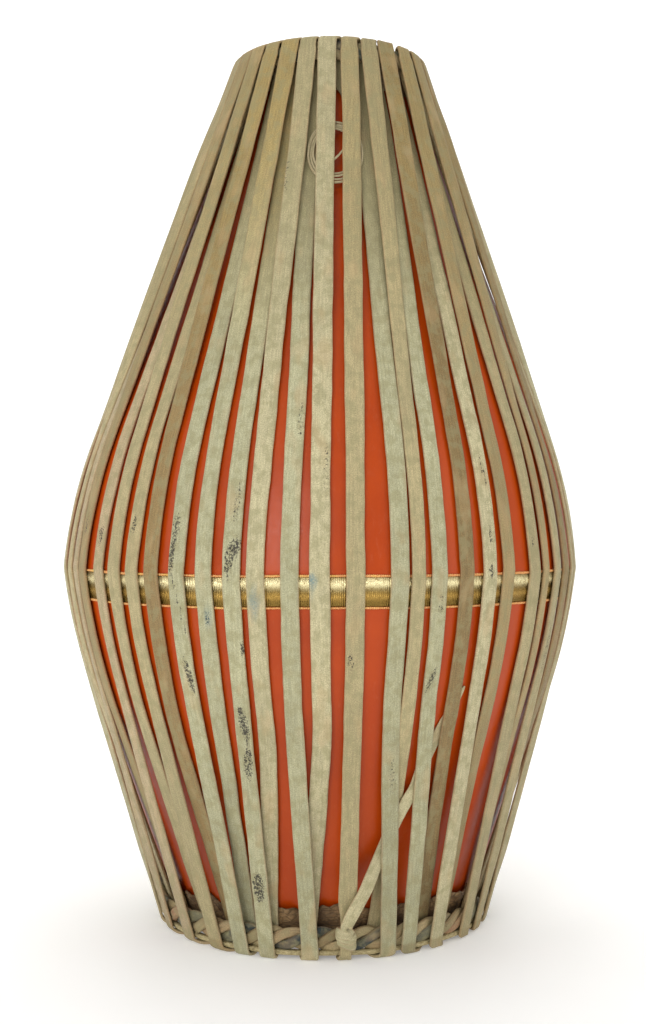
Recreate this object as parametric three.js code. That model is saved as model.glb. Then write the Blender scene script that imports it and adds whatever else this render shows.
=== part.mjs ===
import * as THREE from "three";
import { mergeVertices } from "three/addons/utils/BufferGeometryUtils.js";

// Two-headed hand drum, standing on its large bass head with the small treble head on top.
// Millimetres, +Z up along the drum, z = 0 on the floor. Angles are in degrees round the
// drum, measured from its front (-Y) towards +X. Meridian points are [radius, height].

// ---- Shell: two cones that curve into a belly, with a tighter bend at its widest ----
const BASS_RIM = [100.5, 9];
const TREBLE_RIM = [55, 576];
const LOWER_SLOPE = 0.358;
const UPPER_SLOPE = 0.3925;
// Radii of the belly's three arcs from the bass side up, and the tilts of the shell's normal,
// in degrees, where one arc passes into the next.
const BELLY_BENDS = [430, 28, 345];
const BELLY_BREAKS = [-7.2, 5.6];
const BELLY_STEPS = [4, 2, 4];
const WALL = 5;
const ROUND_SEGMENTS = 48;
// How far to one side of the belly (+X) each mouth stands, and how softly the lean starts.
const LEAN = { belly: 240, treble: 6.5, bass: 2.2, ease: 20 };

// ---- Heads ----
const SKIN = 1.2;
const SKIN_GAP = 0.3;
const BASS_SKIRT_TOP = 34;
const TREBLE_SKIRT_BOTTOM = 552;
const LINING = 1;
const BASS_LINING = [62, 99];
const TREBLE_LINING = [31, 53];
const BASS_PASTE_RADIUS = 46;
const TREBLE_PASTE_RADIUS = 24;
const PASTE = 2.2;

// ---- Hide lace ----
const LACE_WIDTH = 10.2;
const TUCKED_SHARE = 0.86;
const LACE_THICKNESS = 2;
const LACE_STANDOFF = 2.3;
const RUN_COUNT = 61;
const SPAN_DRIFT = 0.36;

// Where a lace run is held: outside or behind the hoop, at each end of the drum.
const HOLD = {
  bass: { outer: [112.8, 5], inner: [104.9, 11] },
  treble: { outer: [66.65, 580.5], inner: [58.2, 578] },
};
// A turn's way round each hoop, from its outer side to its inner side.
const TURN = {
  bass: [[112.1, 2.5], [110.5, 1], [106.4, 1], [105, 2.5]],
  treble: [[65.8, 582.8], [64.2, 584], [60, 584], [58.5, 582.8]],
};
const SPLICE_GAP = 0.08;
const SPARE_END = 37;

// Treble, belly and bass angles of the runs across the front, from left to right. They
// take turns: outside the treble hoop and behind the bass hoop, then the other way round.
// The seam run, the fifteenth listed, is outside both hoops.
const FRONT_RUNS = [
  [-71.5, -76.2, -77], [-66, -68.2, -70.5], [-60.8, -63.3, -64], [-55.5, -59.2, -57],
  [-50.5, -51.6, -49.8], [-45.5, -46, -43], [-40.3, -40.4, -36.7], [-34.4, -35.2, -31.1],
  [-29.1, -28.7, -26.8], [-22.8, -22.8, -25.6], [-17.4, -17, -17.9], [-12.2, -12.2, -18.1],
  [-8.9, -5.7, -4.1], [-1.5, 0.1, -5.4], [10.7, 7, 6.7], [16.4, 15.4, 20.8],
  [22.1, 19.2, 17.1], [26.6, 23.7, 28.1], [33, 30.1, 35.1], [40.7, 35.8, 39],
  [47.2, 40.8, 44.8], [53.7, 49.3, 53.7], [60.5, 53.9, 60.7], [66.8, 59.6, 63.8],
  [73, 65.3, 69], [79, 71.8, 75],
];
const SEAM_ROW = 14;

// ---- Hoops: three strands twisted together, flattened against the skin ----
const HOOPS = {
  bass: { middle: [110.5, 13.5], slope: 0.31, sign: 1, twists: 16, reach: [4.6, 1.75] },
  treble: { middle: [64.15, 574.5], slope: -0.36, sign: -1, twists: 9, reach: [4.4, 1.7] },
};
const STRAND = [2.8, 1.22];
const STATIONS_PER_TWIST = 6;
const RIM_LACE = { radius: [107.1, 110.3], height: [2.8, 5.6] };

// ---- Ribbon round the belly ----
const RIBBON = [221.6, 238.2];
const UPPER_EDGE = [238.5, 239.8];
const LOWER_EDGE = [220, 221.3];
const RIBBON_SKIN = [0.25, 0.75];
const EDGE_SKIN = [0.2, 1];

// ---- Wound ring and tail ----
const RING = { angle: 4.6, height: 501, half: [13.2, 18.9], strand: 0.7, pitch: 1.65, lift: 5.2 };
const TAIL_HALF = [4.2, 0.45];
const KNOT = { angle: 6.7, heights: [12, 25], half: [8.4, 3.7], strap: [2.4, 0.6], room: 3.6 };

const rad = THREE.MathUtils.degToRad;
const lerp = THREE.MathUtils.lerp;

const around = (angle) => new THREE.Vector3(Math.sin(rad(angle)), -Math.cos(rad(angle)), 0);
const sideways = (angle) => new THREE.Vector3(Math.cos(rad(angle)), Math.sin(rad(angle)), 0);
const place = (radius, height, angle) => around(angle).multiplyScalar(radius).setZ(height);

const lowerTilt = Math.atan(LOWER_SLOPE);
const upperTilt = Math.atan(UPPER_SLOPE);

// The belly's arcs, each tangent to the next and the outer two tangent to the cones.
const bellyArcs = (() => {
  const tilts = [-lowerTilt, ...BELLY_BREAKS.map(rad), upperTilt];
  const arcs = BELLY_BENDS.map((bend, k) => ({ bend, start: tilts[k], end: tilts[k + 1] }));
  const onCircle = (bend, tilt) => [bend * Math.cos(tilt), bend * Math.sin(tilt)];
  const span = [0, 1].map((axis) => arcs.reduce((sum, { bend, start, end }) => (
    sum + onCircle(bend, end)[axis] - onCircle(bend, start)[axis]
  ), 0));
  const climb = TREBLE_RIM[1] - BASS_RIM[1] - span[1];
  const lowerClimb = (TREBLE_RIM[0] - BASS_RIM[0] - span[0] + UPPER_SLOPE * climb)
    / (LOWER_SLOPE + UPPER_SLOPE);
  let point = [BASS_RIM[0] + LOWER_SLOPE * lowerClimb, BASS_RIM[1] + lowerClimb];
  return arcs.map((arc) => {
    const centre = point.map((value, axis) => value - onCircle(arc.bend, arc.start)[axis]);
    point = centre.map((value, axis) => value + onCircle(arc.bend, arc.end)[axis]);
    return { ...arc, centre };
  });
})();

// The point of the belly with a given tilt of its normal, moved outwards by offset.
function bellyPoint(tilt, offset) {
  const { centre, bend } = bellyArcs.find(({ end }) => tilt <= end) ?? bellyArcs.at(-1);
  return [
    centre[0] + (bend + offset) * Math.cos(tilt), centre[1] + (bend + offset) * Math.sin(tilt),
  ];
}

// The belly's arcs at a given distance outside the shell, between two tilts of its normal.
function bellyArc(offset, from = -lowerTilt, to = upperTilt) {
  return bellyArcs.flatMap(({ start, end }, arc) => {
    const steps = BELLY_STEPS[arc];
    const first = arc === 0 ? 0 : 1;
    return Array.from({ length: steps + 1 - first }, (_, k) => bellyPoint(
      lerp(Math.max(start, from), Math.min(end, to), (k + first) / steps), offset,
    ));
  });
}

// Sideways shift of the whole drum at one height.
function leanAt(height) {
  const above = height > LEAN.belly;
  const reach = above ? TREBLE_RIM[1] - LEAN.belly : LEAN.belly - BASS_RIM[1];
  const eased = (distance) => Math.hypot(distance, LEAN.ease) - LEAN.ease;
  return (above ? LEAN.treble : LEAN.bass) * eased(height - LEAN.belly) / eased(reach);
}

// The shell's meridian moved outwards by offset, from the bass mouth to the treble mouth.
function meridian(offset) {
  return [
    [BASS_RIM[0] + offset / Math.cos(lowerTilt), BASS_RIM[1]],
    ...bellyArc(offset),
    [TREBLE_RIM[0] + offset / Math.cos(upperTilt), TREBLE_RIM[1]],
  ];
}

// Radius at one height on the meridian at a given distance outside the shell.
function radiusAt(height, offset) {
  const path = meridian(offset);
  const next = Math.max(1, path.findIndex((point) => point[1] >= height));
  const [low, high] = [path[next - 1], path[next]];
  return lerp(low[0], high[0], (height - low[1]) / (high[1] - low[1]));
}

function turned(profile, segments = ROUND_SEGMENTS) {
  const points = profile.map(([radius, height]) => new THREE.Vector2(radius, height));
  const geometry = new THREE.LatheGeometry(points, segments).rotateX(Math.PI / 2);
  geometry.deleteAttribute("normal");
  geometry.deleteAttribute("uv");
  return mergeVertices(geometry, 1e-4);
}

// A closed band round the drum: its section is listed anticlockwise, radius to the right.
const band = (section, segments) => turned([...section, section[0]], segments);

// Joins sections of the same outline into one closed strip. A station holds its middle and
// its half width and half thickness as vectors; the outline is in units of those two.
function strip(stations, outline, closed = false) {
  const vertices = stations.flatMap(({ middle, half, lift }) => outline.flatMap(([u, v]) => (
    middle.clone().addScaledVector(half, u).addScaledVector(lift, v).toArray()
  )));
  const count = outline.length;
  const faces = [];
  const links = closed ? stations.length : stations.length - 1;
  for (let i = 0; i < links; i += 1) {
    const here = i * count;
    const there = ((i + 1) % stations.length) * count;
    for (let k = 0; k < count; k += 1) {
      const next = (k + 1) % count;
      faces.push(here + k, here + next, there + next, here + k, there + next, there + k);
    }
  }
  if (!closed) {
    const last = (stations.length - 1) * count;
    for (let k = 1; k < count - 1; k += 1) {
      faces.push(0, k + 1, k, last, last + k, last + k + 1);
    }
  }
  const geometry = new THREE.BufferGeometry();
  geometry.setAttribute("position", new THREE.Float32BufferAttribute(vertices, 3));
  geometry.setIndex(faces);
  return geometry;
}

const FLAT = [[-1, -1], [1, -1], [1, 1], [-1, 1]];
const DIAMOND = [[-1, 0], [0, -1], [1, 0], [0, 1]];

// Stations along a path of { middle, outward } points, square to the path.
function follow(path, [width, thickness], closed = false) {
  return path.map(({ middle, outward, scale = 1 }, i) => {
    const wrap = (k) => (closed ? (k + path.length) % path.length
      : Math.min(Math.max(k, 0), path.length - 1));
    const along = path[wrap(i + 1)].middle.clone().sub(path[wrap(i - 1)].middle).normalize();
    const half = outward.clone().cross(along).normalize();
    const lift = along.clone().cross(half).multiplyScalar(thickness);
    return { middle, half: half.multiplyScalar(width * scale), lift };
  });
}

// ---- Lace runs ----

// A run's three angles, growing with its order round the drum. The back is spaced evenly,
// with a slight waver such as hand lacing has.
function runAngles(index) {
  const row = index + SEAM_ROW;
  if (row < FRONT_RUNS.length) {
    return FRONT_RUNS[row];
  }
  if (row >= RUN_COUNT) {
    return FRONT_RUNS[row - RUN_COUNT].map((angle) => angle + 360);
  }
  const first = FRONT_RUNS.at(-1);
  const last = FRONT_RUNS[0];
  const share = (row - FRONT_RUNS.length + 1) / (RUN_COUNT - FRONT_RUNS.length + 1);
  const waver = [0.5 * Math.sin(2.1 * row), 0.8 * Math.sin(2.7 * row), 0.8 * Math.sin(1.9 * row)];
  return first.map((angle, k) => lerp(angle, last[k] + 360, share) + waver[k]);
}

const isEven = (index) => index % 2 === 0;
const trebleSide = (index) => (isEven(index) ? "outer" : "inner");
const bassSide = (index) => (isEven(index) && index > 0 ? "inner" : "outer");

// The seam run stands off the bass hoop by the knot's thickness.
function bassHoldOf(index) {
  const [radius, height] = HOLD.bass[bassSide(index)];
  return [index === 0 ? radius + KNOT.room : radius, height];
}

// Tilt of the belly's normal where a taut lace from a hold first touches the belly: there
// the hold lies on the belly's tangent. It is found by halving, from the belly outwards.
function touchTilt([radius, height], coneTilt) {
  let [touching, clear] = [0, coneTilt];
  for (let k = 0; k < 30; k += 1) {
    const tilt = (touching + clear) / 2;
    const point = bellyPoint(tilt, LACE_STANDOFF);
    const above = (radius - point[0]) * Math.cos(tilt) + (height - point[1]) * Math.sin(tilt);
    [touching, clear] = above > 0 ? [touching, tilt] : [tilt, clear];
  }
  return touching;
}

// Meridian path of a run from bass to treble: straight, round the belly, straight again.
function runPath(index) {
  const [treble, belly, bass] = runAngles(index);
  const bassHold = bassHoldOf(index);
  const trebleHold = HOLD.treble[trebleSide(index)];
  const arc = bellyArc(
    LACE_STANDOFF, touchTilt(bassHold, -lowerTilt), touchTilt(trebleHold, upperTilt),
  );
  const midway = (hold, touch, angle) => [
    (hold[0] + touch[0]) / 2, (hold[1] + touch[1]) / 2, lerp(belly, angle, SPAN_DRIFT),
  ];
  return [
    [...bassHold, bass],
    midway(bassHold, arc[0], bass),
    ...arc.map((point) => [...point, belly]),
    midway(trebleHold, arc.at(-1), treble),
    [...trebleHold, treble, isEven(index) ? 1 : TUCKED_SHARE],
  ];
}

// The way round a hoop from one run's end to the next run's start, between two shares of
// the turn: 0 is the outer side and 1 is the inner side. Behind the small treble hoop the
// lace is squeezed to a share of its width.
function turnPath(end, outerAngle, innerAngle, from = 0, to = 1) {
  const corners = TURN[end];
  const at = (share) => {
    const reach = share * (corners.length - 1);
    const k = Math.min(Math.floor(reach), corners.length - 2);
    const [a, b] = [corners[k], corners[k + 1]];
    return [
      lerp(a[0], b[0], reach - k),
      lerp(a[1], b[1], reach - k),
      lerp(outerAngle, innerAngle, share),
      end === "treble" ? lerp(1, TUCKED_SHARE, share) : 1,
    ];
  };
  const whole = corners.map((_, k) => k / (corners.length - 1));
  const inside = whole.filter((share) => share > from && share < to);
  return [from, ...inside, to].map(at);
}

// The lacing's spare end hangs behind the treble hoop, in line with the inner runs.
function spareEnd(angle) {
  const hold = HOLD.treble.inner;
  const touch = bellyPoint(touchTilt(hold, upperTilt), LACE_STANDOFF);
  return [0, SPARE_END / (hold[1] - touch[1])].map((share) => [
    lerp(hold[0], touch[0], share), lerp(hold[1], touch[1], share), angle, TUCKED_SHARE,
  ]);
}

// One continuous length of lace over the runs first to last. Even runs go up, odd ones down.
function lacePath(first, last) {
  const path = [];
  if (first === 0) {
    const bass = runAngles(0)[2];
    path.push(...turnPath("bass", bass, bass, 0, 0.6).reverse());
  } else {
    const [outer] = runAngles(first - 1);
    const [inner] = runAngles(first);
    path.push(...turnPath("treble", outer, inner, 0.5 + SPLICE_GAP, 1));
  }
  for (let index = first; index <= last; index += 1) {
    const run = runPath(index);
    path.push(...(isEven(index) ? run : run.reverse()));
    const here = runAngles(index);
    const next = runAngles(index + 1);
    if (index === last) {
      const middle = (here[0] + next[0]) / 2;
      const isLastRun = index === RUN_COUNT - 1;
      path.push(...turnPath("treble", here[0], middle, 0, isLastRun ? 1 : 0.5 - SPLICE_GAP));
      path.push(...(isLastRun ? spareEnd(middle) : []));
    } else if (isEven(index)) {
      path.push(...turnPath("treble", here[0], next[0]));
    } else {
      path.push(...turnPath("bass", here[2], next[2]));
    }
  }
  return path;
}

// Lays a flat lace along [radius, height, angle, share of width] points, its width level.
function layLace(path, width) {
  const flat = path.map(([radius, height]) => new THREE.Vector2(radius, height));
  return path.map(([radius, height, angle, share = 1], i) => {
    const before = flat[i].clone().sub(flat[Math.max(i - 1, 0)]).normalize();
    const after = flat[Math.min(i + 1, flat.length - 1)].clone().sub(flat[i]).normalize();
    const along = before.clone().add(after).normalize();
    const mitre = Math.min(1.25, 1 / Math.max(along.dot(before), along.dot(after)));
    const half = sideways(angle).multiplyScalar(width / 2 * share);
    const meridianAlong = around(angle).multiplyScalar(along.x).setZ(along.y);
    const lift = meridianAlong.cross(sideways(angle)).multiplyScalar(LACE_THICKNESS / 2 * mitre);
    return { middle: place(radius, height, angle), half, lift };
  });
}

// ---- Hoops ----
function hoopStrand({ middle, slope, sign, twists, reach }, strand) {
  const tilt = Math.atan(slope);
  const steps = twists * STATIONS_PER_TWIST;
  const path = Array.from({ length: steps }, (_, k) => {
    const angle = (k / steps) * 360;
    const phase = rad(angle * twists * sign + strand * 120);
    const up = reach[0] * Math.sin(phase);
    const out = reach[1] * Math.cos(phase);
    const radius = middle[0] + out * Math.cos(tilt) + up * Math.sin(tilt);
    const height = middle[1] - out * Math.sin(tilt) + up * Math.cos(tilt);
    const outward = around(angle).multiplyScalar(Math.cos(tilt)).setZ(-Math.sin(tilt));
    return { middle: place(radius, height, angle), outward };
  });
  return strip(follow(path, STRAND, true), DIAMOND, true);
}

// ---- Heads ----

// A skin laid over a mouth: a flat disc with a skirt down the outside of the shell.
function skinCup(rim, skirtHeight, face) {
  const tilt = face < 0 ? lowerTilt : upperTilt;
  const edge = (offset) => rim[0] + offset / Math.cos(tilt);
  const inside = rim[1] + face * SKIN_GAP;
  const outside = inside + face * SKIN;
  const section = [
    [0, inside],
    [edge(SKIN_GAP), inside],
    [radiusAt(skirtHeight, SKIN_GAP), skirtHeight],
    [radiusAt(skirtHeight, SKIN_GAP + SKIN), skirtHeight],
    [edge(SKIN_GAP + SKIN), outside + face * -0.4],
    [edge(SKIN_GAP + SKIN) - 0.6, outside],
    [0, outside],
  ];
  return turned(face < 0 ? section.reverse() : section);
}

// A flat washer or disc lying on a skin, on the side that face points to.
function layOnSkin(rim, [inner, outer], thickness, face) {
  const near = rim[1] + face * (SKIN_GAP * 2 + SKIN);
  const far = near + face * thickness;
  const [low, high] = [Math.min(near, far), Math.max(near, far)];
  if (inner === 0) {
    const bevel = face < 0 ? [outer - 3, outer] : [outer, outer - 3];
    return turned([[0, low], [bevel[0], low], [bevel[1], high], [0, high]]);
  }
  return band([[inner, low], [outer, low], [outer, high], [inner, high]]);
}

// ---- Ribbon ----
function beltBand([low, high], [near, far]) {
  const inner = [[radiusAt(low, near), low]];
  const outer = [[radiusAt(low, far), low]];
  bellyArc(near).filter((point) => point[1] > low + 1 && point[1] < high - 1).forEach((point) => {
    inner.push(point);
    outer.push([point[0] + far - near, point[1]]);
  });
  inner.push([radiusAt(high, near), high]);
  outer.push([radiusAt(high, far), high]);
  return band([...outer, ...inner.reverse()]);
}

// ---- Wound ring: an oval coil between the inner and the outer runs ----
// Extra reach and depth of each turn, in strand pitches: two turns wide and two deep.
const RING_NEST = [[0, 0], [1, 0], [1, 1], [0, 1], [0, 1]];
const RING_STEPS = 18;

function ringPath() {
  const shellRadius = radiusAt(RING.height, 0);
  const lay = (across, up, depth) => {
    const height = RING.height + up * Math.cos(upperTilt) + depth * Math.sin(upperTilt);
    const radius = shellRadius - up * Math.sin(upperTilt) + depth * Math.cos(upperTilt);
    const angle = RING.angle + THREE.MathUtils.radToDeg(across / radius);
    const outward = around(angle).multiplyScalar(Math.cos(upperTilt)).setZ(Math.sin(upperTilt));
    return { middle: place(radius, height, angle), outward };
  };
  const turns = RING_NEST.length - 1;
  return Array.from({ length: RING_STEPS * turns + 1 }, (_, k) => {
    const turn = Math.min(Math.floor(k / RING_STEPS), turns - 1);
    const blend = THREE.MathUtils.smoothstep(k / RING_STEPS - turn, 0.7, 1);
    const [wide, deep] = [0, 1].map((axis) => (
      lerp(RING_NEST[turn][axis], RING_NEST[turn + 1][axis], blend) * RING.pitch
    ));
    const phase = rad((k / RING_STEPS) * 360 - 50);
    const [across, up] = RING.half;
    return lay(
      (across + wide) * Math.cos(phase), (up + wide) * Math.sin(phase), RING.lift + deep,
    );
  });
}

// ---- Tail: a knot of two wraps round the seam run, then a flat tail up to the right ----
function knotPath() {
  const steps = 23;
  const [, belly, bass] = runPath(0).slice(0, 3);
  const seamSlope = (belly[0] - bassHoldOf(0)[0]) / (belly[1] - bassHoldOf(0)[1]);
  return Array.from({ length: steps + 1 }, (_, k) => {
    const phase = rad(lerp(200, 1030, k / steps));
    const height = lerp(...KNOT.heights, k / steps);
    const across = KNOT.half[0] * Math.cos(phase);
    const out = -KNOT.half[1] * Math.sin(phase);
    const radius = bassHoldOf(0)[0] + seamSlope * (height - bassHoldOf(0)[1]) + out;
    const angle = KNOT.angle + THREE.MathUtils.radToDeg(across / radius);
    const outward = sideways(angle).multiplyScalar(Math.cos(phase) / KNOT.half[0])
      .addScaledVector(around(angle), -Math.sin(phase) / KNOT.half[1]).normalize();
    return { middle: place(radius, height, angle), outward };
  });
}

// The loose end, from the knot to its pointed tip: angle, height and distance outside the
// shell. It goes behind three runs, and under the last of them it lies flat on the shell.
const TAIL_COURSE = [
  [11.9, 31, 16.8], [13, 40, 11.6], [14.5, 54, 7.2], [16.3, 70, 5.3], [19.2, 90, 4.75],
  [22, 104, 4.7], [23.8, 111, 3.8], [25, 125, 2.1], [27, 137, 0.8], [29, 149, 0.78],
  [32.9, 172, 0.83],
];

function tailPath() {
  return TAIL_COURSE.map(([angle, height, offset], k) => ({
    middle: place(radiusAt(height, offset), height, angle),
    outward: around(angle).multiplyScalar(Math.cos(lowerTilt)).setZ(-Math.sin(lowerTilt)),
    scale: k === TAIL_COURSE.length - 1 ? 0.12 : 1,
  }));
}

// ---- Assembly ----
const HIDE = { color: 0xb3a685, roughness: 0.62, metalness: 0 };
const MATERIALS = {
  shell: { color: 0xc9481a, roughness: 0.28, metalness: 0 },
  skin: { color: 0x8a735c, roughness: 0.7, metalness: 0 },
  lining: { color: 0xa68f70, roughness: 0.7, metalness: 0 },
  paste: { color: 0x1c1a1a, roughness: 0.85, metalness: 0 },
  lightStrand: { color: 0xb29a78, roughness: 0.65, metalness: 0 },
  blueStrand: { color: 0x46565c, roughness: 0.65, metalness: 0 },
  ochreStrand: { color: 0xa0744a, roughness: 0.65, metalness: 0 },
  hide: HIDE,
  warmHide: { ...HIDE, color: 0xa8925f },
  ribbon: { color: 0xc99a35, roughness: 0.35, metalness: 0.8 },
  edge: { color: 0xd8893f, roughness: 0.5, metalness: 0.2 },
};

const drum = new THREE.Group();
drum.name = "hand_drum";

function add(name, geometry, material) {
  const points = geometry.getAttribute("position");
  for (let k = 0; k < points.count; k += 1) {
    points.setX(k, points.getX(k) + leanAt(points.getZ(k)));
  }
  const mesh = new THREE.Mesh(geometry, new THREE.MeshStandardMaterial(MATERIALS[material]));
  mesh.name = name;
  drum.add(mesh);
}

add("shell", band([...meridian(0), ...meridian(-WALL).reverse()]), "shell");

add("bass_skin", skinCup(BASS_RIM, BASS_SKIRT_TOP, -1), "skin");
add("bass_lining_skin", layOnSkin(BASS_RIM, BASS_LINING, LINING, -1), "lining");
add("bass_tuning_paste", layOnSkin(BASS_RIM, [0, BASS_PASTE_RADIUS], PASTE, -1), "paste");
add("treble_skin", skinCup(TREBLE_RIM, TREBLE_SKIRT_BOTTOM, 1), "skin");
add("treble_lining_skin", layOnSkin(TREBLE_RIM, TREBLE_LINING, LINING, 1), "lining");
add("treble_tuning_paste", layOnSkin(TREBLE_RIM, [0, TREBLE_PASTE_RADIUS], PASTE, 1), "paste");

["lightStrand", "blueStrand", "ochreStrand"].forEach((material, strand) => {
  const letter = "abc"[strand];
  add(`bass_hoop_strand_${letter}`, hoopStrand(HOOPS.bass, strand), material);
  add(`treble_hoop_strand_${letter}`, hoopStrand(HOOPS.treble, strand), material);
});

const [rimInner, rimOuter] = RIM_LACE.radius;
const [rimLow, rimHigh] = RIM_LACE.height;
add("bass_rim_lace", band([
  [rimInner, rimLow], [rimOuter, rimLow], [rimOuter, rimHigh], [rimInner, rimHigh],
]), "hide");

add("belly_ribbon", beltBand(RIBBON, RIBBON_SKIN), "ribbon");
add("ribbon_edge_upper", beltBand(UPPER_EDGE, EDGE_SKIN), "edge");
add("ribbon_edge_lower", beltBand(LOWER_EDGE, EDGE_SKIN), "edge");

// Fifteen lengths of lace. Each covers four runs, and the first has the seam run as well.
const LENGTHS = 15;
for (let length = 0; length < LENGTHS; length += 1) {
  const first = length === 0 ? 0 : length * 4 + 1;
  const last = length * 4 + 4;
  const name = `lace_${String(length + 1).padStart(2, "0")}`;
  const width = LACE_WIDTH + 0.25 * Math.sin(1.7 * length);
  add(name, strip(layLace(lacePath(first, last), width), FLAT), length % 4 === 3 ? "warmHide" : "hide");
}

const ringHalf = [RING.strand, RING.strand];
add("wound_ring", strip(follow(ringPath(), ringHalf), DIAMOND), "hide");

const knot = follow(knotPath(), KNOT.strap);
add("tail_lace", strip([...knot, ...follow(tailPath(), TAIL_HALF)], FLAT), "hide");

export default drum;
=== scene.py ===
import math

import bpy
import numpy as np
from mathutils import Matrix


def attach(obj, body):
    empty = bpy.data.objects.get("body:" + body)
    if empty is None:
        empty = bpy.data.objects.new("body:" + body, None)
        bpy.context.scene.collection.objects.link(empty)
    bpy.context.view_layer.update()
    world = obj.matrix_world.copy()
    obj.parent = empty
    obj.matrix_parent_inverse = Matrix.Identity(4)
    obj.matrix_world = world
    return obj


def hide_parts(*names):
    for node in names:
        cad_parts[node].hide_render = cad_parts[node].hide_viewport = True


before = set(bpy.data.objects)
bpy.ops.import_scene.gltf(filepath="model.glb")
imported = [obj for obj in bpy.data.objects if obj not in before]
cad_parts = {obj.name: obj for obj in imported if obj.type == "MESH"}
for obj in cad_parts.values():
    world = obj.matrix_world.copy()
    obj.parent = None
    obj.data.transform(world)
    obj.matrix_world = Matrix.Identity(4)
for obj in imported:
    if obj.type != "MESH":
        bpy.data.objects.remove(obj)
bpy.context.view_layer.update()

# Lengths below are millimetres and angles are degrees round the drum from its front (-Y)
# towards +X, unless a name says otherwise. Meshes are written in metres.
MM = 0.001

# ---------------------------------------------------------------- camera

CAMERA_DISTANCE = 0.955
CAMERA_HEIGHT = 0.276
CAMERA_SIDE = 0.0024
CAMERA_LENS = 48.3

camera_data = bpy.data.cameras.new("camera")
camera_data.sensor_fit = "VERTICAL"
camera_data.sensor_height = 36
camera_data.lens = CAMERA_LENS
camera_data.clip_start = 0.01
camera = bpy.data.objects.new("camera", camera_data)
camera.location = (CAMERA_SIDE, -CAMERA_DISTANCE, CAMERA_HEIGHT)
camera.rotation_euler = (math.radians(90), 0, 0)
bpy.context.scene.collection.objects.link(camera)
bpy.context.scene.camera = camera
bpy.context.scene.view_settings.view_transform = "Standard"

# ---------------------------------------------------------------- the drum's shape

BASS_RIM = (100.5, 9.0)
TREBLE_RIM = (55.0, 576.0)
LOWER_SLOPE = 0.358
UPPER_SLOPE = 0.3925
# Radii of the belly's three arcs from the bass side up, and the tilts between them.
BELLY_BENDS = (430.0, 28.0, 345.0)
BELLY_BREAKS = (math.radians(-7.2), math.radians(5.6))
WALL = 5.0
RIM_ROUND = 0.7
LOWER_TILT = math.atan(LOWER_SLOPE)
UPPER_TILT = math.atan(UPPER_SLOPE)
BELLY_Z = 240.7
# Both mouths stand a little to one side of the belly: its height, the shift at the treble
# and bass mouths, and the length over which the bend eases.
LEAN_BELLY, LEAN_TREBLE, LEAN_BASS, LEAN_EASE = 240.0, 6.5, 2.2, 20.0

LACE_STANDOFF = 2.3
LACE_THICKNESS = 1.9
LACE_WIDTH = 10.3
# Width of a lace at its two ends, and of the runs that are wider than that at the treble end.
BASS_WIDTH = 10.5
TREBLE_WIDTH = 11.8
TREBLE_WIDTHS = {4: 12.6, 6: 13.2, 8: 12.4}
# Share of the width that is left where a lace is tucked inside the treble hoop.
TUCKED_SHARE = 0.9
RUN_COUNT = 61
LENGTH_COUNT = 15
RUNS_PER_LENGTH = 4
# Row of FRONT_RUNS that holds run 0, which starts at the knot.
SEAM_ROW = 14
SPARE_END = 37.0
# Radius and height where a run leaves each hoop, and the corners of its turn over the hoop.
HOLD = {
    ("bass", "outer"): (112.8, 5.0), ("bass", "inner"): (104.9, 11.0),
    ("treble", "outer"): (66.65, 580.5), ("treble", "inner"): (58.2, 578.0),
}
TURN = {
    "bass": [(112.1, 2.5), (110.5, 1.0), (106.4, 1.0), (105.0, 2.5)],
    "treble": [(65.8, 582.8), (64.2, 584.0), (60.0, 584.0), (58.5, 582.8)],
}
# How much further out run 0 starts, to leave room for the knot.
KNOT_ROOM = 3.6
# Treble, belly and bass angles and the belly width of each run across the front.
FRONT_RUNS = [
    (-71.5, -76.2, -77, 10.0), (-66, -68.2, -70.5, 10.4), (-60.8, -63.3, -64, 10.2),
    (-55.5, -59.2, -57, 10.4), (-50.5, -51.6, -49.8, 10.0), (-45.5, -46, -43, 10.8),
    (-40.3, -40.4, -36.7, 10.1), (-34.4, -35.2, -31.1, 10.8), (-29.1, -28.7, -26.8, 11.4),
    (-22.8, -22.8, -25.6, 10.3), (-17.4, -17, -17.9, 10.5), (-12.2, -12.2, -18.1, 10.6),
    (-8.9, -5.7, -4.1, 11.0), (-1.5, 0.1, -5.4, 11.5), (10.7, 7, 6.7, 11.2),
    (16.4, 15.4, 20.8, 10.9), (22.1, 19.2, 17.1, 8.9), (26.6, 23.7, 28.1, 9.9),
    (33, 30.1, 35.1, 9.7), (40.7, 35.8, 39, 11.2), (47.2, 40.8, 44.8, 9.4),
    (53.7, 49.3, 53.7, 10.4), (60.5, 53.9, 60.7, 8.6), (66.8, 59.6, 63.8, 10.2),
    (73, 65.3, 69, 10.4), (79, 71.8, 75, 10.0),
]


NOISE_PERIOD = 997


def ease(share):
    return share * share * (3 - 2 * share)


def smooth(t, low, high):
    return ease(np.clip((np.asarray(t, float) - low) / (high - low), 0, 1))


def noise_curve(seed, t):
    """A smooth random curve from -1 to 1 with one random value at each whole t."""
    values = np.random.default_rng(seed).uniform(-1, 1, NOISE_PERIOD)
    t = np.asarray(t, float)
    low = np.floor(t).astype(int)
    share = ease(t - low)
    return values[low % NOISE_PERIOD] * (1 - share) + values[(low + 1) % NOISE_PERIOD] * share


def ring_noise(seed, angle, waves):
    """A smooth random curve round the drum that meets itself, with that many values."""
    values = np.random.default_rng(seed).uniform(-1, 1, waves)
    t = (np.asarray(angle, float) / 360 * waves) % waves
    low = np.floor(t).astype(int) % waves
    share = ease(t - np.floor(t))
    return values[low] * (1 - share) + values[(low + 1) % waves] * share


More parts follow.
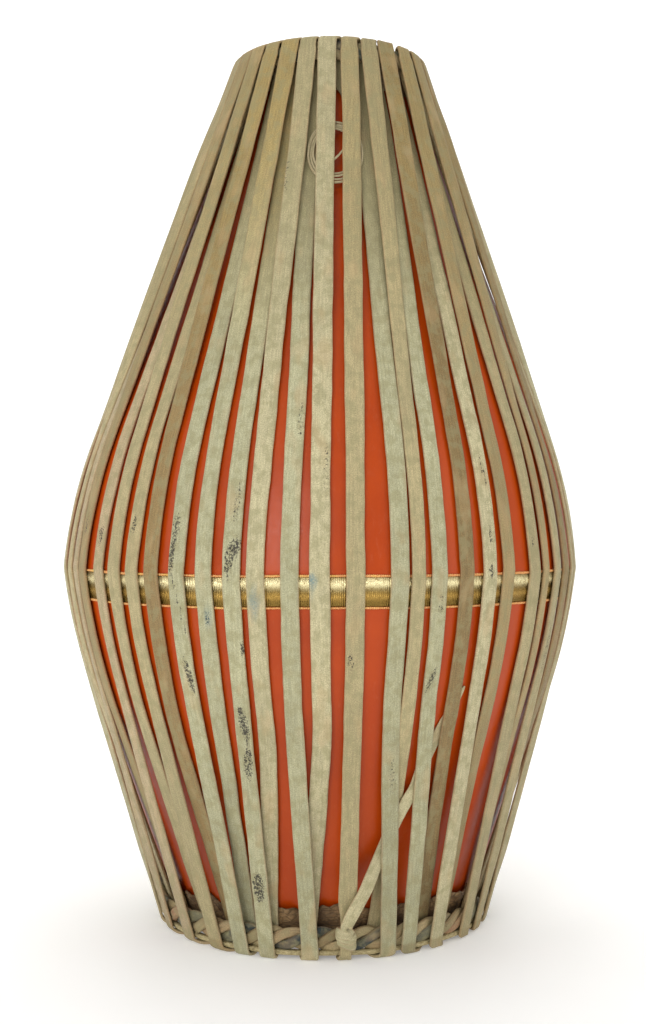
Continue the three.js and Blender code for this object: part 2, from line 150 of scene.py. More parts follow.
def find_belly_arcs():
    """First tilt, last tilt, centre and radius of the belly's arcs, tangent to the cones."""
    tilts = (-LOWER_TILT, *BELLY_BREAKS, UPPER_TILT)
    spans = list(zip(BELLY_BENDS, tilts, tilts[1:]))
    out = sum(bend * (math.cos(end) - math.cos(start)) for bend, start, end in spans)
    up = sum(bend * (math.sin(end) - math.sin(start)) for bend, start, end in spans)
    climb = TREBLE_RIM[1] - BASS_RIM[1] - up
    lower = (TREBLE_RIM[0] - BASS_RIM[0] - out + UPPER_SLOPE * climb) / (LOWER_SLOPE + UPPER_SLOPE)
    r, z = BASS_RIM[0] + LOWER_SLOPE * lower, BASS_RIM[1] + lower
    arcs = []
    for bend, start, end in spans:
        centre = r - bend * math.cos(start), z - bend * math.sin(start)
        arcs.append((start, end, *centre, bend))
        r, z = centre[0] + bend * math.cos(end), centre[1] + bend * math.sin(end)
    return np.array(arcs)


BELLY_ARCS = find_belly_arcs()


def belly_points(tilt, offset=0.0):
    """Meridian points of the belly by the tilt of its normal, moved outwards by offset."""
    tilt = np.asarray(tilt, float)
    arc = BELLY_ARCS[np.minimum(np.searchsorted(BELLY_ARCS[:, 1], tilt), 2)]
    reach = arc[..., 4] + offset
    return np.stack([arc[..., 2] + reach * np.cos(tilt), arc[..., 3] + reach * np.sin(tilt)], -1)


MERIDIAN_RUNOUT = 60


def meridian(offset=0.0):
    """The shell's outline moved outwards by offset, run out past both mouths."""
    low = BASS_RIM[0] + offset / math.cos(LOWER_TILT)
    high = TREBLE_RIM[0] + offset / math.cos(UPPER_TILT)
    below = (low - MERIDIAN_RUNOUT * LOWER_SLOPE, BASS_RIM[1] - MERIDIAN_RUNOUT)
    above = (high - MERIDIAN_RUNOUT * UPPER_SLOPE, TREBLE_RIM[1] + MERIDIAN_RUNOUT)
    belly = belly_points(np.linspace(-LOWER_TILT, UPPER_TILT, 161), offset)
    return np.concatenate([[below, (low, BASS_RIM[1])], belly, [(high, TREBLE_RIM[1]), above]])


def shell_radius(z, offset=0.0):
    """Radius at that height on the shell's meridian, moved outwards by offset."""
    if np.ndim(offset):
        return np.array([shell_radius(height, off) for height, off in zip(z, offset)])
    line = meridian(offset)
    return np.interp(z, line[:, 1], line[:, 0])


def lean(z):
    """Sideways shift of the drum at that height."""
    def eased(away):
        return np.hypot(away, LEAN_EASE) - LEAN_EASE
    upper = LEAN_TREBLE * eased(z - LEAN_BELLY) / eased(TREBLE_RIM[1] - LEAN_BELLY)
    lower = LEAN_BASS * eased(z - LEAN_BELLY) / eased(LEAN_BELLY - BASS_RIM[1])
    return np.where(z > LEAN_BELLY, upper, lower)


def place(radius, height, angle):
    """Points from radius, height and angle, before the lean."""
    turn = np.radians(angle)
    return np.stack([radius * np.sin(turn), -radius * np.cos(turn), height + 0 * turn], axis=-1)


def radial(angle):
    turn = np.radians(angle)
    return np.stack([np.sin(turn), -np.cos(turn), 0 * turn], axis=-1)


def sideways(angle):
    turn = np.radians(angle)
    return np.stack([np.cos(turn), np.sin(turn), 0 * turn], axis=-1)


UP = np.array([0.0, 0.0, 1.0])


def unit(vectors):
    return vectors / np.maximum(np.linalg.norm(vectors, axis=-1, keepdims=True), 1e-12)


# ---------------------------------------------------------------- meshes


def add_piece(name, points, faces, node_names, uv=None, tint=None, stain=None, blue=None):
    """A smooth-shaded mesh object that replaces those CAD nodes.

    stain and blue may be one value for the whole piece.
    """
    points = np.array(points, float)
    points[:, 0] += lean(points[:, 2])
    mesh = bpy.data.meshes.new(name)
    mesh.from_pydata((points * MM).tolist(), [], [list(f) for f in faces])
    mesh.update()
    mesh.shade_smooth()
    if uv is not None:
        loops = np.empty(len(mesh.loops), int)
        mesh.loops.foreach_get("vertex_index", loops)
        layer = mesh.uv_layers.new(name="strip")
        layer.data.foreach_set("uv", np.asarray(uv, np.float32)[loops].ravel())
    if tint is not None:
        layer = mesh.attributes.new("tint", "FLOAT_COLOR", "POINT")
        colour = np.concatenate([tint, np.ones((len(tint), 1))], axis=1)
        layer.data.foreach_set("color", colour.astype(np.float32).ravel())
    for key, values in (("stain", stain), ("blue", blue)):
        if values is not None:
            layer = mesh.attributes.new(key, "FLOAT", "POINT")
            layer.data.foreach_set("value", np.full(len(points), values, np.float32))
    piece = bpy.data.objects.new(name, mesh)
    bpy.context.scene.collection.objects.link(piece)
    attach(piece, "root")
    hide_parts(*node_names)
    return piece


def grid_faces(rows, columns, close_rows, close_columns, flip=False):
    """Quads of a rows x columns grid of points, with rows or columns joined up."""
    faces = []
    for i in range(rows if close_rows else rows - 1):
        for k in range(columns if close_columns else columns - 1):
            a = i * columns + k
            b = i * columns + (k + 1) % columns
            c = ((i + 1) % rows) * columns + (k + 1) % columns
            d = ((i + 1) % rows) * columns + k
            faces.append((a, d, c, b) if flip else (a, b, c, d))
    return faces


def strip_mesh(sections, closed=False):
    """Vertices and faces of a solid strip from sections of shape (stations, points, 3)."""
    rows, columns = sections.shape[:2]
    faces = grid_faces(rows, columns, closed, True)
    points = sections.reshape(-1, 3)
    if not closed:
        faces.append(tuple(range(columns - 1, -1, -1)))
        faces.append(tuple((rows - 1) * columns + k for k in range(columns)))
    return points, faces


def revolve(profile, segments, name, nodes, shape=None, colour=None):
    """A closed ring or, if its ends are on the axis, a closed body, from (r, z) points.

    shape(r, z, angle) may move the points and colour(r, z, angle) gives their tint.
    Profiles run anticlockwise, radius to the right.
    """
    profile = np.asarray(profile, float)
    angle = np.arange(segments) * 360 / segments
    on_axis = profile[0][0] == 0 and profile[-1][0] == 0
    body = profile[1:-1] if on_axis else profile
    r, a = np.meshgrid(body[:, 0], angle)
    z = np.meshgrid(body[:, 1], angle)[0]
    tint = None if colour is None else colour(r, z, a).reshape(-1, 3)
    if shape is not None:
        r, z = shape(r, z, a)
    points = place(r, z, a).reshape(-1, 3)
    columns = len(body)
    faces = grid_faces(segments, columns, True, not on_axis)
    travel = np.concatenate([[0], np.cumsum(np.linalg.norm(np.diff(body, axis=0), axis=1))])
    uv = np.stack([a / 360, np.meshgrid(travel * MM, angle)[0]], axis=-1).reshape(-1, 2)
    if on_axis:
        first, last = len(points), len(points) + 1
        points = np.concatenate([points, [[0, 0, profile[0][1]], [0, 0, profile[-1][1]]]])
        uv = np.concatenate([uv, [[0, 0], [0, travel[-1] * MM]]])
        for i in range(segments):
            here, there = i * columns, ((i + 1) % segments) * columns
            faces.append((first, here, there))
            faces.append((last, there + columns - 1, here + columns - 1))
    return add_piece(name, points, faces, nodes, uv=uv, tint=tint)


# ---------------------------------------------------------------- colours


def linear(red, green, blue):
    """An 8-bit display colour as linear light."""
    c = np.array([red, green, blue]) / 255
    return np.where(c <= 0.04045, c / 12.92, ((c + 0.055) / 1.055) ** 2.4)


PALE = linear(201, 191, 150)
GREEN_GREY = linear(188, 184, 146)
BEIGE = linear(187, 172, 128)
PINK_BEIGE = linear(190, 170, 132)
OCHRE = linear(190, 164, 100)
BROWN = linear(150, 125, 80)
TAN = linear(172, 149, 102)
HIDES = [PALE, GREEN_GREY, BEIGE, PINK_BEIGE, GREEN_GREY, BEIGE, TAN]
# Hide of the runs whose colour stands out, by run index.
RUN_HIDE = {
    60: PALE, 0: BEIGE, 1: GREEN_GREY, 2: BEIGE, 3: GREEN_GREY, 4: BROWN, 5: PALE,
    6: TAN, 7: BEIGE, 8: TAN, 9: BEIGE, 10: BROWN, 54: BROWN, 55: GREEN_GREY, 56: GREEN_GREY,
    57: GREEN_GREY, 58: PALE, 59: GREEN_GREY, 53: BEIGE, 52: BEIGE, 51: PINK_BEIGE, 50: TAN,
}
# How far the treble end of a run has yellowed.
USUALLY_YELLOWED = 0.45
YELLOWED = {60: 0.15, 0: 0.4, 58: 0.35, 57: 0.9, 56: 0.95, 55: 0.5, 54: 0.85, 53: 0.5, 52: 0.7,
            51: 0.4, 2: 0.3, 4: 0.5, 6: 0.6, 8: 0.5}
# Black speckle: run, middle height, half length, place across (-1 to 1), half width,
# strength and how far the place moves across from the bottom of the mark to its top.
STAINS = [
    (57, 256, 9, 0.35, 0.75, 1.0, 0.3), (57, 247, 12, -0.35, 0.45, 0.95, 0.0),
    (57, 282, 14, 0.3, 0.5, 0.78, 0.2), (57, 197, 6, 0.75, 0.35, 1.0, 0.0),
    (57, 152, 13, 0.1, 0.7, 1.0, -0.3), (57, 128, 12, 0.2, 0.7, 0.95, 0.2),
    (57, 48, 11, -0.1, 0.8, 1.0, 0.0),
    (55, 252, 15, -0.55, 0.42, 1.0, 0.1), (55, 222, 26, 0.15, 0.22, 0.98, -0.85),
    (55, 180, 13, 0.25, 0.55, 1.0, -0.3), (55, 268, 10, -0.3, 0.7, 0.85, 0.0),
    (56, 214, 9, 0.2, 0.5, 0.82, 0.0), (5, 298, 14, 0.25, 0.28, 1.0, -0.5),
    (5, 262, 7, 0.1, 0.35, 0.95, 0.0), (5, 241, 5, 0.0, 0.4, 1.0, 0.0),
    (3, 178, 9, -0.1, 0.5, 1.0, 0.5), (3, 222, 8, 0.2, 0.5, 0.78, 0.0),
    (7, 256, 5, -0.3, 0.4, 0.95, 0.0), (53, 268, 9, -0.2, 0.5, 0.9, 0.2),
    (51, 262, 9, 0.0, 0.6, 0.92, 0.0), (50, 268, 8, -0.1, 0.6, 0.85, 0.0),
    (0, 190, 6, -0.4, 0.45, 0.92, 0.0), (60, 300, 20, 0.6, 0.4, 0.72, 0.0),
    (9, 190, 20, 0.1, 0.6, 0.75, 0.0), (59, 330, 14, 0.6, 0.5, 0.7, 0.0),
    (58, 485, 14, -0.7, 0.35, 0.8, 0.0), (55, 500, 12, 0.8, 0.5, 0.85, 0.0),
    (1, 120, 14, 0.2, 0.6, 0.7, 0.0), (16, 260, 30, 0.1, 0.7, 0.9, 0.0),
    (23, 180, 26, 0.0, 0.8, 0.9, 0.2), (31, 300, 22, 0.3, 0.6, 0.85, 0.0),
    (38, 140, 18, -0.2, 0.7, 0.9, 0.0), (43, 260, 24, 0.2, 0.7, 0.85, -0.4),
    (28, 90, 16, 0.1, 0.8, 0.8, 0.0),
]
# Blue dye marks, in the same order.
BLUES = [
    (60, 236, 5, -0.72, 0.42, 1.0, 0.0), (58, 224, 7, -0.2, 0.55, 0.75, 0.0),
    (56, 216, 7, 0.3, 0.5, 0.45, 0.0), (35, 230, 6, 0.4, 0.5, 0.8, 0.0),
]

# ---------------------------------------------------------------- lace runs


def run_angles(index):
    """Treble, belly and bass angles and the width of a run; angles grow with the index."""
    row = index + SEAM_ROW
    if row < len(FRONT_RUNS):
        return FRONT_RUNS[row]
    if row >= RUN_COUNT:
        treble, belly, bass, width = FRONT_RUNS[row - RUN_COUNT]
        return treble + 360, belly + 360, bass + 360, width
    first, last = FRONT_RUNS[-1], FRONT_RUNS[0]
    share = (row - len(FRONT_RUNS) + 1) / (RUN_COUNT - len(FRONT_RUNS) + 1)
    waver = (0.5 * math.sin(2.1 * row), 0.9 * math.sin(2.7 * row), 0.8 * math.sin(1.9 * row))
    angles = [first[k] + (last[k] + 360 - first[k]) * share + waver[k] for k in range(3)]
    return (*angles, LACE_WIDTH + 0.5 * math.sin(3.3 * row))


def is_even(index):
    """Even runs lie outside at the treble hoop, and run 0 and the odd ones at the bass hoop."""
    return index % 2 == 0


def hold_of(index, end):
    if end == "treble":
        return HOLD["treble", "outer" if is_even(index) else "inner"]
    side = "inner" if is_even(index) and index > 0 else "outer"
    radius, height = HOLD["bass", side]
    return (radius + KNOT_ROOM if index == 0 else radius, height)


def touch_tilt(hold, cone_tilt):
    """Tilt of the belly's normal where a taut lace from a hold first touches it."""
    touching, clear = 0.0, cone_tilt
    for _ in range(40):
        tilt = (touching + clear) / 2
        r, z = belly_points(tilt, LACE_STANDOFF)
        if (hold[0] - r) * math.cos(tilt) + (hold[1] - z) * math.sin(tilt) > 0:
            clear = tilt
        else:
            touching = tilt
    return touching


SPAN_STEPS = 44
ARC_STEPS = 44
# How late the sideways drift of a run comes on its way from the belly to the hoop.
DRIFT_POWER = 1.47
SPARE_STEPS = 24


def run_line(index):
    """(r, z, angle) along a run from its bass hold to its treble hold."""
    treble, belly, bass, _ = run_angles(index)
    low, high = hold_of(index, "bass"), hold_of(index, "treble")
    first, last = touch_tilt(low, -LOWER_TILT), touch_tilt(high, UPPER_TILT)
    third = ARC_STEPS // 3
    tilts = np.concatenate([np.linspace(first, BELLY_BREAKS[0], third, endpoint=False),
                            np.linspace(*BELLY_BREAKS, third, endpoint=False),
                            np.linspace(BELLY_BREAKS[1], last, third)])
    arc = belly_points(tilts, LACE_STANDOFF)
    t = np.linspace(1, 0, SPAN_STEPS)[:, None]
    lower = np.concatenate([np.array(low) * t + arc[0] * (1 - t),
                            belly + (bass - belly) * t ** DRIFT_POWER], axis=1)
    t = t[::-1]
    upper = np.concatenate([np.array(high) * t + arc[-1] * (1 - t),
                            belly + (treble - belly) * t ** DRIFT_POWER], axis=1)
    middle = np.concatenate([arc[1:-1], np.full((len(arc) - 2, 1), belly)], axis=1)
    return np.concatenate([lower, middle, upper])


def spare_end(angle):
    """The lacing's spare end, hanging behind the treble hoop in line with the inner runs."""
    hold = HOLD["treble", "inner"]
    touch = belly_points(touch_tilt(hold, UPPER_TILT), LACE_STANDOFF)
    share = np.linspace(0, SPARE_END / (hold[1] - touch[1]), SPARE_STEPS)[:, None]
    line = np.array(hold) * (1 - share) + touch * share
    return np.concatenate([line, np.full((SPARE_STEPS, 1), angle)], axis=1)


def spline(control, steps=6):
    """Quadratic B-spline through a polyline's leg middles."""
    out = []
    for k in range(1, len(control) - 1):
        a, b, c = control[k - 1], control[k], control[k + 1]
        start, end = (a + b) / 2, (b + c) / 2
        for t in np.linspace(0, 1, steps, endpoint=False):
            out.append(start * (1 - t) ** 2 + b * 2 * t * (1 - t) + end * t ** 2)
    out.append((control[-2] + control[-1]) / 2)
    return np.array(out)


def turn_controls(end, outer_angle, inner_angle, start=0.0, stop=1.0):
    """Control points of the turn over a hoop, or of part of it, from outside to inside."""
    corners = TURN[end]
    shares = np.linspace(0, 1, len(corners))
    keep = sorted({start, stop, *[s for s in shares if start < s < stop]})
    r = np.interp(keep, shares, [c[0] for c in corners])
    z = np.interp(keep, shares, [c[1] for c in corners])
    return np.stack([r, z, outer_angle + (inner_angle - outer_angle) * np.array(keep)], axis=1)


# How far short of the top of its turn over the treble hoop a length's control points stop, as a
# share of the turn.
SPLICE_GAP = 0.08


def lace_line(first, last):
    """(r, z, angle, run) along one length of lace. Even runs go up and odd ones down."""
    legs = []
    if first == 0:
        bass = run_angles(0)[2]
        legs.append((turn_controls("bass", bass, bass, 0, 0.6)[::-1], first))
    else:
        legs.append((turn_controls("treble", run_angles(first - 1)[0], run_angles(first)[0],
                                   0.5 + SPLICE_GAP, 1), first))
    for index in range(first, last + 1):
        line = run_line(index)
        legs.append((line if is_even(index) else line[::-1], index))
        here, after = run_angles(index), run_angles(index + 1)
        if index == last:
            stop = 1 if index == RUN_COUNT - 1 else 0.5 - SPLICE_GAP
            middle = here[0] + (after[0] - here[0]) / 2
            legs.append((turn_controls("treble", here[0], middle, 0, stop), index))
            if stop == 1:
                legs.append((spare_end(middle), index + 0.5))
        elif is_even(index):
            legs.append((turn_controls("treble", here[0], after[0]), index + 0.5))
        else:
            legs.append((turn_controls("bass", here[2], after[2]), index + 0.5))
    pieces, owners = [], []
    for k, (points, owner) in enumerate(legs):
        if len(points) > 20:
            body = points[1:-1]
        else:
            before = legs[k - 1][0][-2:] if k > 0 else points[:1]
            after = legs[k + 1][0][:2] if k + 1 < len(legs) else points[-1:]
            ends = [2 * points[:1] - points[1:2]] if k == 0 else []
            tail = [2 * points[-1:] - points[-2:-1]] if k + 1 == len(legs) else []
            body = spline(np.concatenate([*ends, *([before] if k else []), points,
                                          *([after] if k + 1 < len(legs) else []), *tail]))
        pieces.append(body)
        owners.append(np.full(len(body), owner))
    return np.concatenate(pieces), np.concatenate(owners)


# Where each piece starts on the hide's texture, in metres along it.
LENGTH_SHIFT, RING_SHIFT, TAIL_SHIFT, HOOP_SHIFT = 3.1, 61.0, 71.0, 80.0

# Section of a lace: place across (-1 to 1) and up (-1 to 1), anticlockwise.
LACE_SECTION = np.array([
    (-1, -0.35), (-0.93, -0.85), (-0.68, -1), (-0.34, -1), (0, -1), (0.34, -1), (0.68, -1),
    (0.93, -0.85), (1, -0.35), (1, 0.35), (0.93, 0.85), (0.68, 1), (0.34, 1), (0, 1),
    (-0.34, 1), (-0.68, 1), (-0.93, 0.85), (-1, 0.35),
])


def patches(marks, index, z, across):
    """Strength of the marks on a run at heights z and places across."""
    out = np.zeros_like(z)
    for run, middle, half, side, half_width, strength, slant in marks:
        if run == index:
            up = (z - middle) / half
            near = np.hypot(up, (across - side - slant * np.clip(up, -1, 1)) / half_width)
            out = np.maximum(out, strength * (1 - smooth(near, 0.7, 1.35)))
    return out


def per_run(values, owner, first):
    """Values of the runs from first on, blended over the turns between them."""
    return np.interp(owner, np.arange(first, first + len(values)), values)


def outer_at_bass(run):
    return ~is_even(run) | (run == 0)


def settled_roll(run, z, angle):
    """Degrees by which the outer laces at the sides have settled towards the front."""
    upper = smooth(z, 310, 400) * (1 - smooth(z, 515, 565)) * is_even(run)
    lower = (1 - smooth(z, 110, 190)) * smooth(z, 20, 55) * outer_at_bass(run)
    around = (angle + 180) % 360 - 180
    settled = (np.where(z > BELLY_Z, upper, lower)
               * np.exp(-((np.abs(around) - 80) / 20) ** 2) * -np.sign(around))
    return 15 * settled * np.where(is_even(run), 1, -1)


def lace_width(first, last, run, owner, z, travel, seed):
    """Width along a length: wider towards both ends, narrower where it is tucked or tied."""
    keys = range(first, last + 2)
    width = per_run([run_angles(k)[3] for k in keys], owner, first)
    treble = per_run([TREBLE_WIDTHS.get(k, TREBLE_WIDTH) for k in keys], owner, first)
    far = smooth(np.abs(z - BELLY_Z), 60, 300)
    width = width + (np.where(z > BELLY_Z, treble, BASS_WIDTH) - width) * far
    tucked = ~is_even(run) | ((owner % 1) > 0)
    width = width * (1 - (1 - TUCKED_SHARE) * tucked * smooth(z, 520, 575))
    width = width * (1 + 0.035 * noise_curve(seed + 5, travel / 60))
    if first == 0:
        squeezed = (run == 0) * (1 - smooth(np.abs(z - 17), 9, 24))
        width = width * (1 - 0.34 * squeezed)
    return width


def lace_sections(r, z, angle, along, roll, width, travel, seed):
    """Cross-sections of a lace with uneven edges, a ridged face and a slight cup."""
    across = sideways(angle)
    lift = UP * along[:, :1] - radial(angle) * along[:, 1:]
    across, lift = (across * np.cos(roll)[:, None] + lift * np.sin(roll)[:, None],
                    lift * np.cos(roll)[:, None] - across * np.sin(roll)[:, None])
    u, v = LACE_SECTION.T
    half = (width / 2)[:, None] * u[None, :]
    side = np.where(u < 0, noise_curve(seed + 6, travel[:, None] / 14),
                    noise_curve(seed + 7, travel[:, None] / 14))
    nick = np.where(u < 0, noise_curve(seed + 8, travel[:, None] / 5),
                    noise_curve(seed + 9, travel[:, None] / 5))
    half = half + np.sign(u) * (np.abs(u) > 0.6) * (0.17 * side + 0.09 * nick)
    swell = (1 + 0.10 * noise_curve(seed + 2, travel / 45))[:, None]
    ridge = 0.11 * noise_curve(seed + 5, u[None, :] * 3.1 + travel[:, None] / 160)
    cup = 0.16 * (u[None, :] ** 2 - 0.4) * noise_curve(seed + 3, travel / 150)[:, None]
    thick = LACE_THICKNESS / 2 * v[None, :] * swell
    thick = thick + ridge * (np.abs(v) == 1)[None, :] + cup
    return (place(r, z, angle)[:, None, :] + across[:, None, :] * half[..., None]
            + lift[:, None, :] * thick[..., None])


def lace_tint(first, last, owner, z, travel, seed):
    """Colour along a length: each run's own hide, yellowed and darker towards its ends."""
    keys = range(first, last + 2)
    hides = np.array([RUN_HIDE.get(k % RUN_COUNT, HIDES[(k * 5 + 3) % len(HIDES)])
                      * (1 + 0.05 * math.sin(4.1 * k)) for k in keys])
    tint = np.stack([per_run(hides[:, c], owner, first) for c in range(3)], axis=1)
    yellowed = [YELLOWED.get(k % RUN_COUNT, USUALLY_YELLOWED) for k in keys]
    ochre = smooth(z, 330, 540) * per_run(yellowed, owner, first)
    tint = tint * (1 - ochre[:, None]) + OCHRE * ochre[:, None]
    tint = tint * (1 - 0.20 * smooth(z, 300, 560) - 0.12 * (1 - smooth(z, 60, 220)))[:, None]
    wear = 1 + 0.07 * noise_curve(seed + 4, travel / 70) + 0.05 * noise_curve(seed + 5, travel / 17)
    return tint * wear[:, None]


def lace_marks(marks, first, last, run, z, across, outside):
    """Strength of the marks on the outside of a length."""
    heights = z[:, None] * np.ones_like(across)
    out = np.zeros_like(across)
    for k in range(first, last + 1):
        mine = (run == k)[:, None] * outside
        out = np.maximum(out, mine * patches(marks, k, heights, across))
    return out


def lace_piece(length_index):
    first = 0 if length_index == 0 else length_index * RUNS_PER_LENGTH + 1
    last = (length_index + 1) * RUNS_PER_LENGTH
    line, owner = lace_line(first, last)
    r, z, angle = line.T
    step = np.linalg.norm(np.diff(place(r, z, angle), axis=0), axis=1)
    travel = np.concatenate([[0], np.cumsum(step)])
    seed = 100 + 10 * length_index
    run = np.round(owner - 0.01).astype(int)

    # The lace wanders sideways and twists a little wherever a hoop doesn't hold it.
    free = smooth(z, 14, 60) * (1 - smooth(z, 525, 572))
    angle = angle + np.degrees(free * (0.55 * noise_curve(seed, travel / 95)
                                       + 0.22 * noise_curve(seed + 1, travel / 31)) / r)
    roll = np.radians(free * (5.5 * noise_curve(seed + 2, travel / 120)
                              + 2.0 * noise_curve(seed + 3, travel / 37)))
    roll = roll + np.radians(settled_roll(run, z, angle))
    loose = np.where(z < BELLY_Z, outer_at_bass(run), is_even(run)) * free
    r = r + loose * 0.3 * noise_curve(seed + 4, travel / 110)
    width = lace_width(first, last, run, owner, z, travel, seed)
    if last == RUN_COUNT - 1:
        # The spare end is cut to a slanting point.
        point = smooth(travel, travel[-1] - 16, travel[-1]) * (owner > last)
        width = width * (1 - 0.72 * point)
        angle = angle + 3.0 * point
    along = unit(np.gradient(np.stack([r, z], axis=1), travel, axis=0))
    sections = lace_sections(r, z, angle, along, roll, width, travel, seed)
    points, faces = strip_mesh(sections)

    rows, columns = sections.shape[:2]
    u, v = LACE_SECTION.T
    across = u[None, :] * np.ones((rows, 1))
    outside = v[None, :] * np.sign(-along[:, 1])[:, None] > -0.5
    uv = np.stack([(across + 1) / 2, (travel[:, None] * MM + LENGTH_SHIFT * length_index)
                   * np.ones((1, columns))], axis=-1)
    tint = lace_tint(first, last, owner, z, travel, seed)
    number = f"{length_index + 1:02d}"
    return add_piece(
        f"hide_lace_{number}", points, faces, [f"lace_{number}"],
        uv=uv.reshape(-1, 2), tint=np.repeat(tint, columns, axis=0),
        stain=lace_marks(STAINS, first, last, run, z, across, outside).ravel(),
        blue=lace_marks(BLUES, first, last, run, z, across, outside).ravel())


LACES = [lace_piece(k) for k in range(LENGTH_COUNT)]

# ---------------------------------------------------------------- straps: ring, knot and tail


def circle(count, start=0.0):
    turn = np.linspace(start, start + 2 * np.pi, count, endpoint=False)
    return np.stack([np.cos(turn), np.sin(turn)], axis=1)


def follow(points, outward, closed=False):
    """Half-width and thickness directions of a strap laid along points."""
    if closed:
        along = unit(np.roll(points, -1, axis=0) - np.roll(points, 1, axis=0))
    else:
        along = unit(np.gradient(points, axis=0))
    across = unit(np.cross(outward, along))
    return across, unit(np.cross(along, across))


def strap(points, outward, width, thickness, section, closed=False):
    across, lift = follow(points, outward, closed)
    width = np.broadcast_to(width, len(points))
    thickness = np.broadcast_to(thickness, len(points))
    u, v = section.T
    return (points[:, None, :] + across[:, None, :] * (width[:, None] / 2 * u)[..., None]
            + lift[:, None, :] * (thickness[:, None] / 2 * v)[..., None])


def simple_uv(sections, offset):
    rows, columns = sections.shape[:2]
    middle = sections.mean(axis=1)
    travel = np.concatenate([[0], np.cumsum(np.linalg.norm(np.diff(middle, axis=0), axis=1))])
    u = np.abs(np.linspace(-1, 1, columns, endpoint=False))
    return np.stack([np.ones((rows, 1)) * u, (travel * MM + offset)[:, None]
                     * np.ones((1, columns))], axis=-1).reshape(-1, 2)


ROUND_SECTION = circle(12)

# The ring's place, the half sizes of its innermost turn, the distance between turns, how far
# it lies off the shell, the strand's width and thickness, and each turn's place in the coil.
RING_ANGLE, RING_Z = 3.0, 501.4
RING_HALF = (12.4, 16.8)
RING_PITCH = 1.55
RING_LIFT = 5.6
RING_STRAND = (1.5, 1.35)
RING_TURNS = 4
RING_STEPS = 48
RING_COLOUR = linear(205, 190, 150)
RING_NEST = np.array([(0, 0), (1, 0.2), (2, 0), (3, 0.2), (3, 0.4)])


def ring_lay(across, up, depth):
    """Points on the upper cone round the ring's middle, and the way out from the shell there."""
    tilt = UPPER_TILT
    height = RING_Z + up * np.cos(tilt) + depth * np.sin(tilt)
    radius = shell_radius(RING_Z) - up * np.sin(tilt) + depth * np.cos(tilt)
    angle = RING_ANGLE + np.degrees(across / radius)
    outward = radial(angle) * np.cos(tilt) + UP * np.sin(tilt)
    return place(radius, height, angle), outward


def ring_piece():
    k = np.arange(RING_STEPS * RING_TURNS + 1)
    turn = np.minimum(k // RING_STEPS, RING_TURNS - 1)
    blend = smooth(k / RING_STEPS - turn, 0.6, 1.0)[:, None]
    nest = RING_NEST[turn] * (1 - blend) + RING_NEST[turn + 1] * blend
    phase = np.radians(k / RING_STEPS * 360 - 135)
    waver = 0.22 * noise_curve(41, k / 11)
    pitch = RING_PITCH * (1 + 0.45 * np.clip(-np.sin(phase), 0, 1))
    across = (RING_HALF[0] + nest[:, 0] * pitch + waver) * np.cos(phase)
    up = (RING_HALF[1] + nest[:, 0] * pitch + waver) * np.sin(phase)
    depth = RING_LIFT + nest[:, 1] * RING_PITCH + 0.10 * noise_curve(42, k / 9)
    # The loose end leaves the coil at the lower left and crosses it up to the right.
    share = np.linspace(0, 1, 30)[1:]
    bow = np.sin(share * np.pi)
    end_across = across[-1] + (10.5 - across[-1]) * share + 2.5 * bow
    end_up = up[-1] + (11.5 - up[-1]) * share - 3.0 * bow
    across = np.concatenate([across, end_across])
    up = np.concatenate([up, end_up])
    depth = np.concatenate([depth, depth[-1] + 1.3 * np.sin(share * np.pi) - 0.5 * share])
    points, outward = ring_lay(across, up, depth)
    width = RING_STRAND[0] + 0.12 * noise_curve(43, np.arange(len(points)) / 7)
    width[-3:] *= (0.85, 0.6, 0.3)
    sections = strap(points, outward, width, RING_STRAND[1], ROUND_SECTION)
    verts, faces = strip_mesh(sections)
    tint = RING_COLOUR * (1 + 0.12 * noise_curve(44, np.arange(len(verts)) / 40))[:, None]
    return add_piece("wound_ring_coil", verts, faces, ["wound_ring"],
                     uv=simple_uv(sections, RING_SHIFT), tint=tint, stain=0, blue=0)


KNOT_ANGLE = 6.7
KNOT_HALF = (5.1, 3.6)
KNOT_TURNS = 2.3
KNOT_STEPS = 96
# Slope of the knot's axis, close to that of run 0, which it is tied round.
KNOT_SLOPE = 0.272
# Angle, height and distance outside the shell along the tail.
TAIL_COURSE = np.array([
    (6.3, 24, 18.2), (7.0, 28, 18.0), (8.2, 34, 17.5), (9.8, 41, 16.8), (11.6, 48, 14.6),
    (13.3, 56, 10.8), (15.0, 64, 7.6), (16.6, 73, 5.9), (19.2, 90, 4.9), (22, 104, 4.7),
    (23.8, 111, 3.8), (25, 125, 2.1), (27, 137, 0.85), (29, 149, 0.85), (31, 161, 0.85),
    (32.9, 172, 0.85),
])


def knot_wraps():
    """Points and outward directions of the two wraps round run 0."""
    turn = np.arange(KNOT_STEPS + 1) / KNOT_STEPS * KNOT_TURNS
    phase = np.radians(205 + 360 * turn)
    across = KNOT_HALF[0] * np.cos(phase)
    out = -(KNOT_HALF[1] + 0.5 * turn) * np.sin(phase)
    # The first wrap slopes down to the right and the second lies more level above it.
    slope = -0.55 + 0.35 * smooth(turn, 0.6, 1.6)
    height = 13.4 + 3.15 * turn + slope * across
    low = hold_of(0, "bass")
    radius = low[0] + KNOT_SLOPE * (height - low[1]) + out
    angle = KNOT_ANGLE + np.degrees(across / radius)
    outward = unit(sideways(angle) * (np.cos(phase) / KNOT_HALF[0])[:, None]
                   - radial(angle) * (np.sin(phase) / KNOT_HALF[1])[:, None])
    return place(radius, height, angle), outward


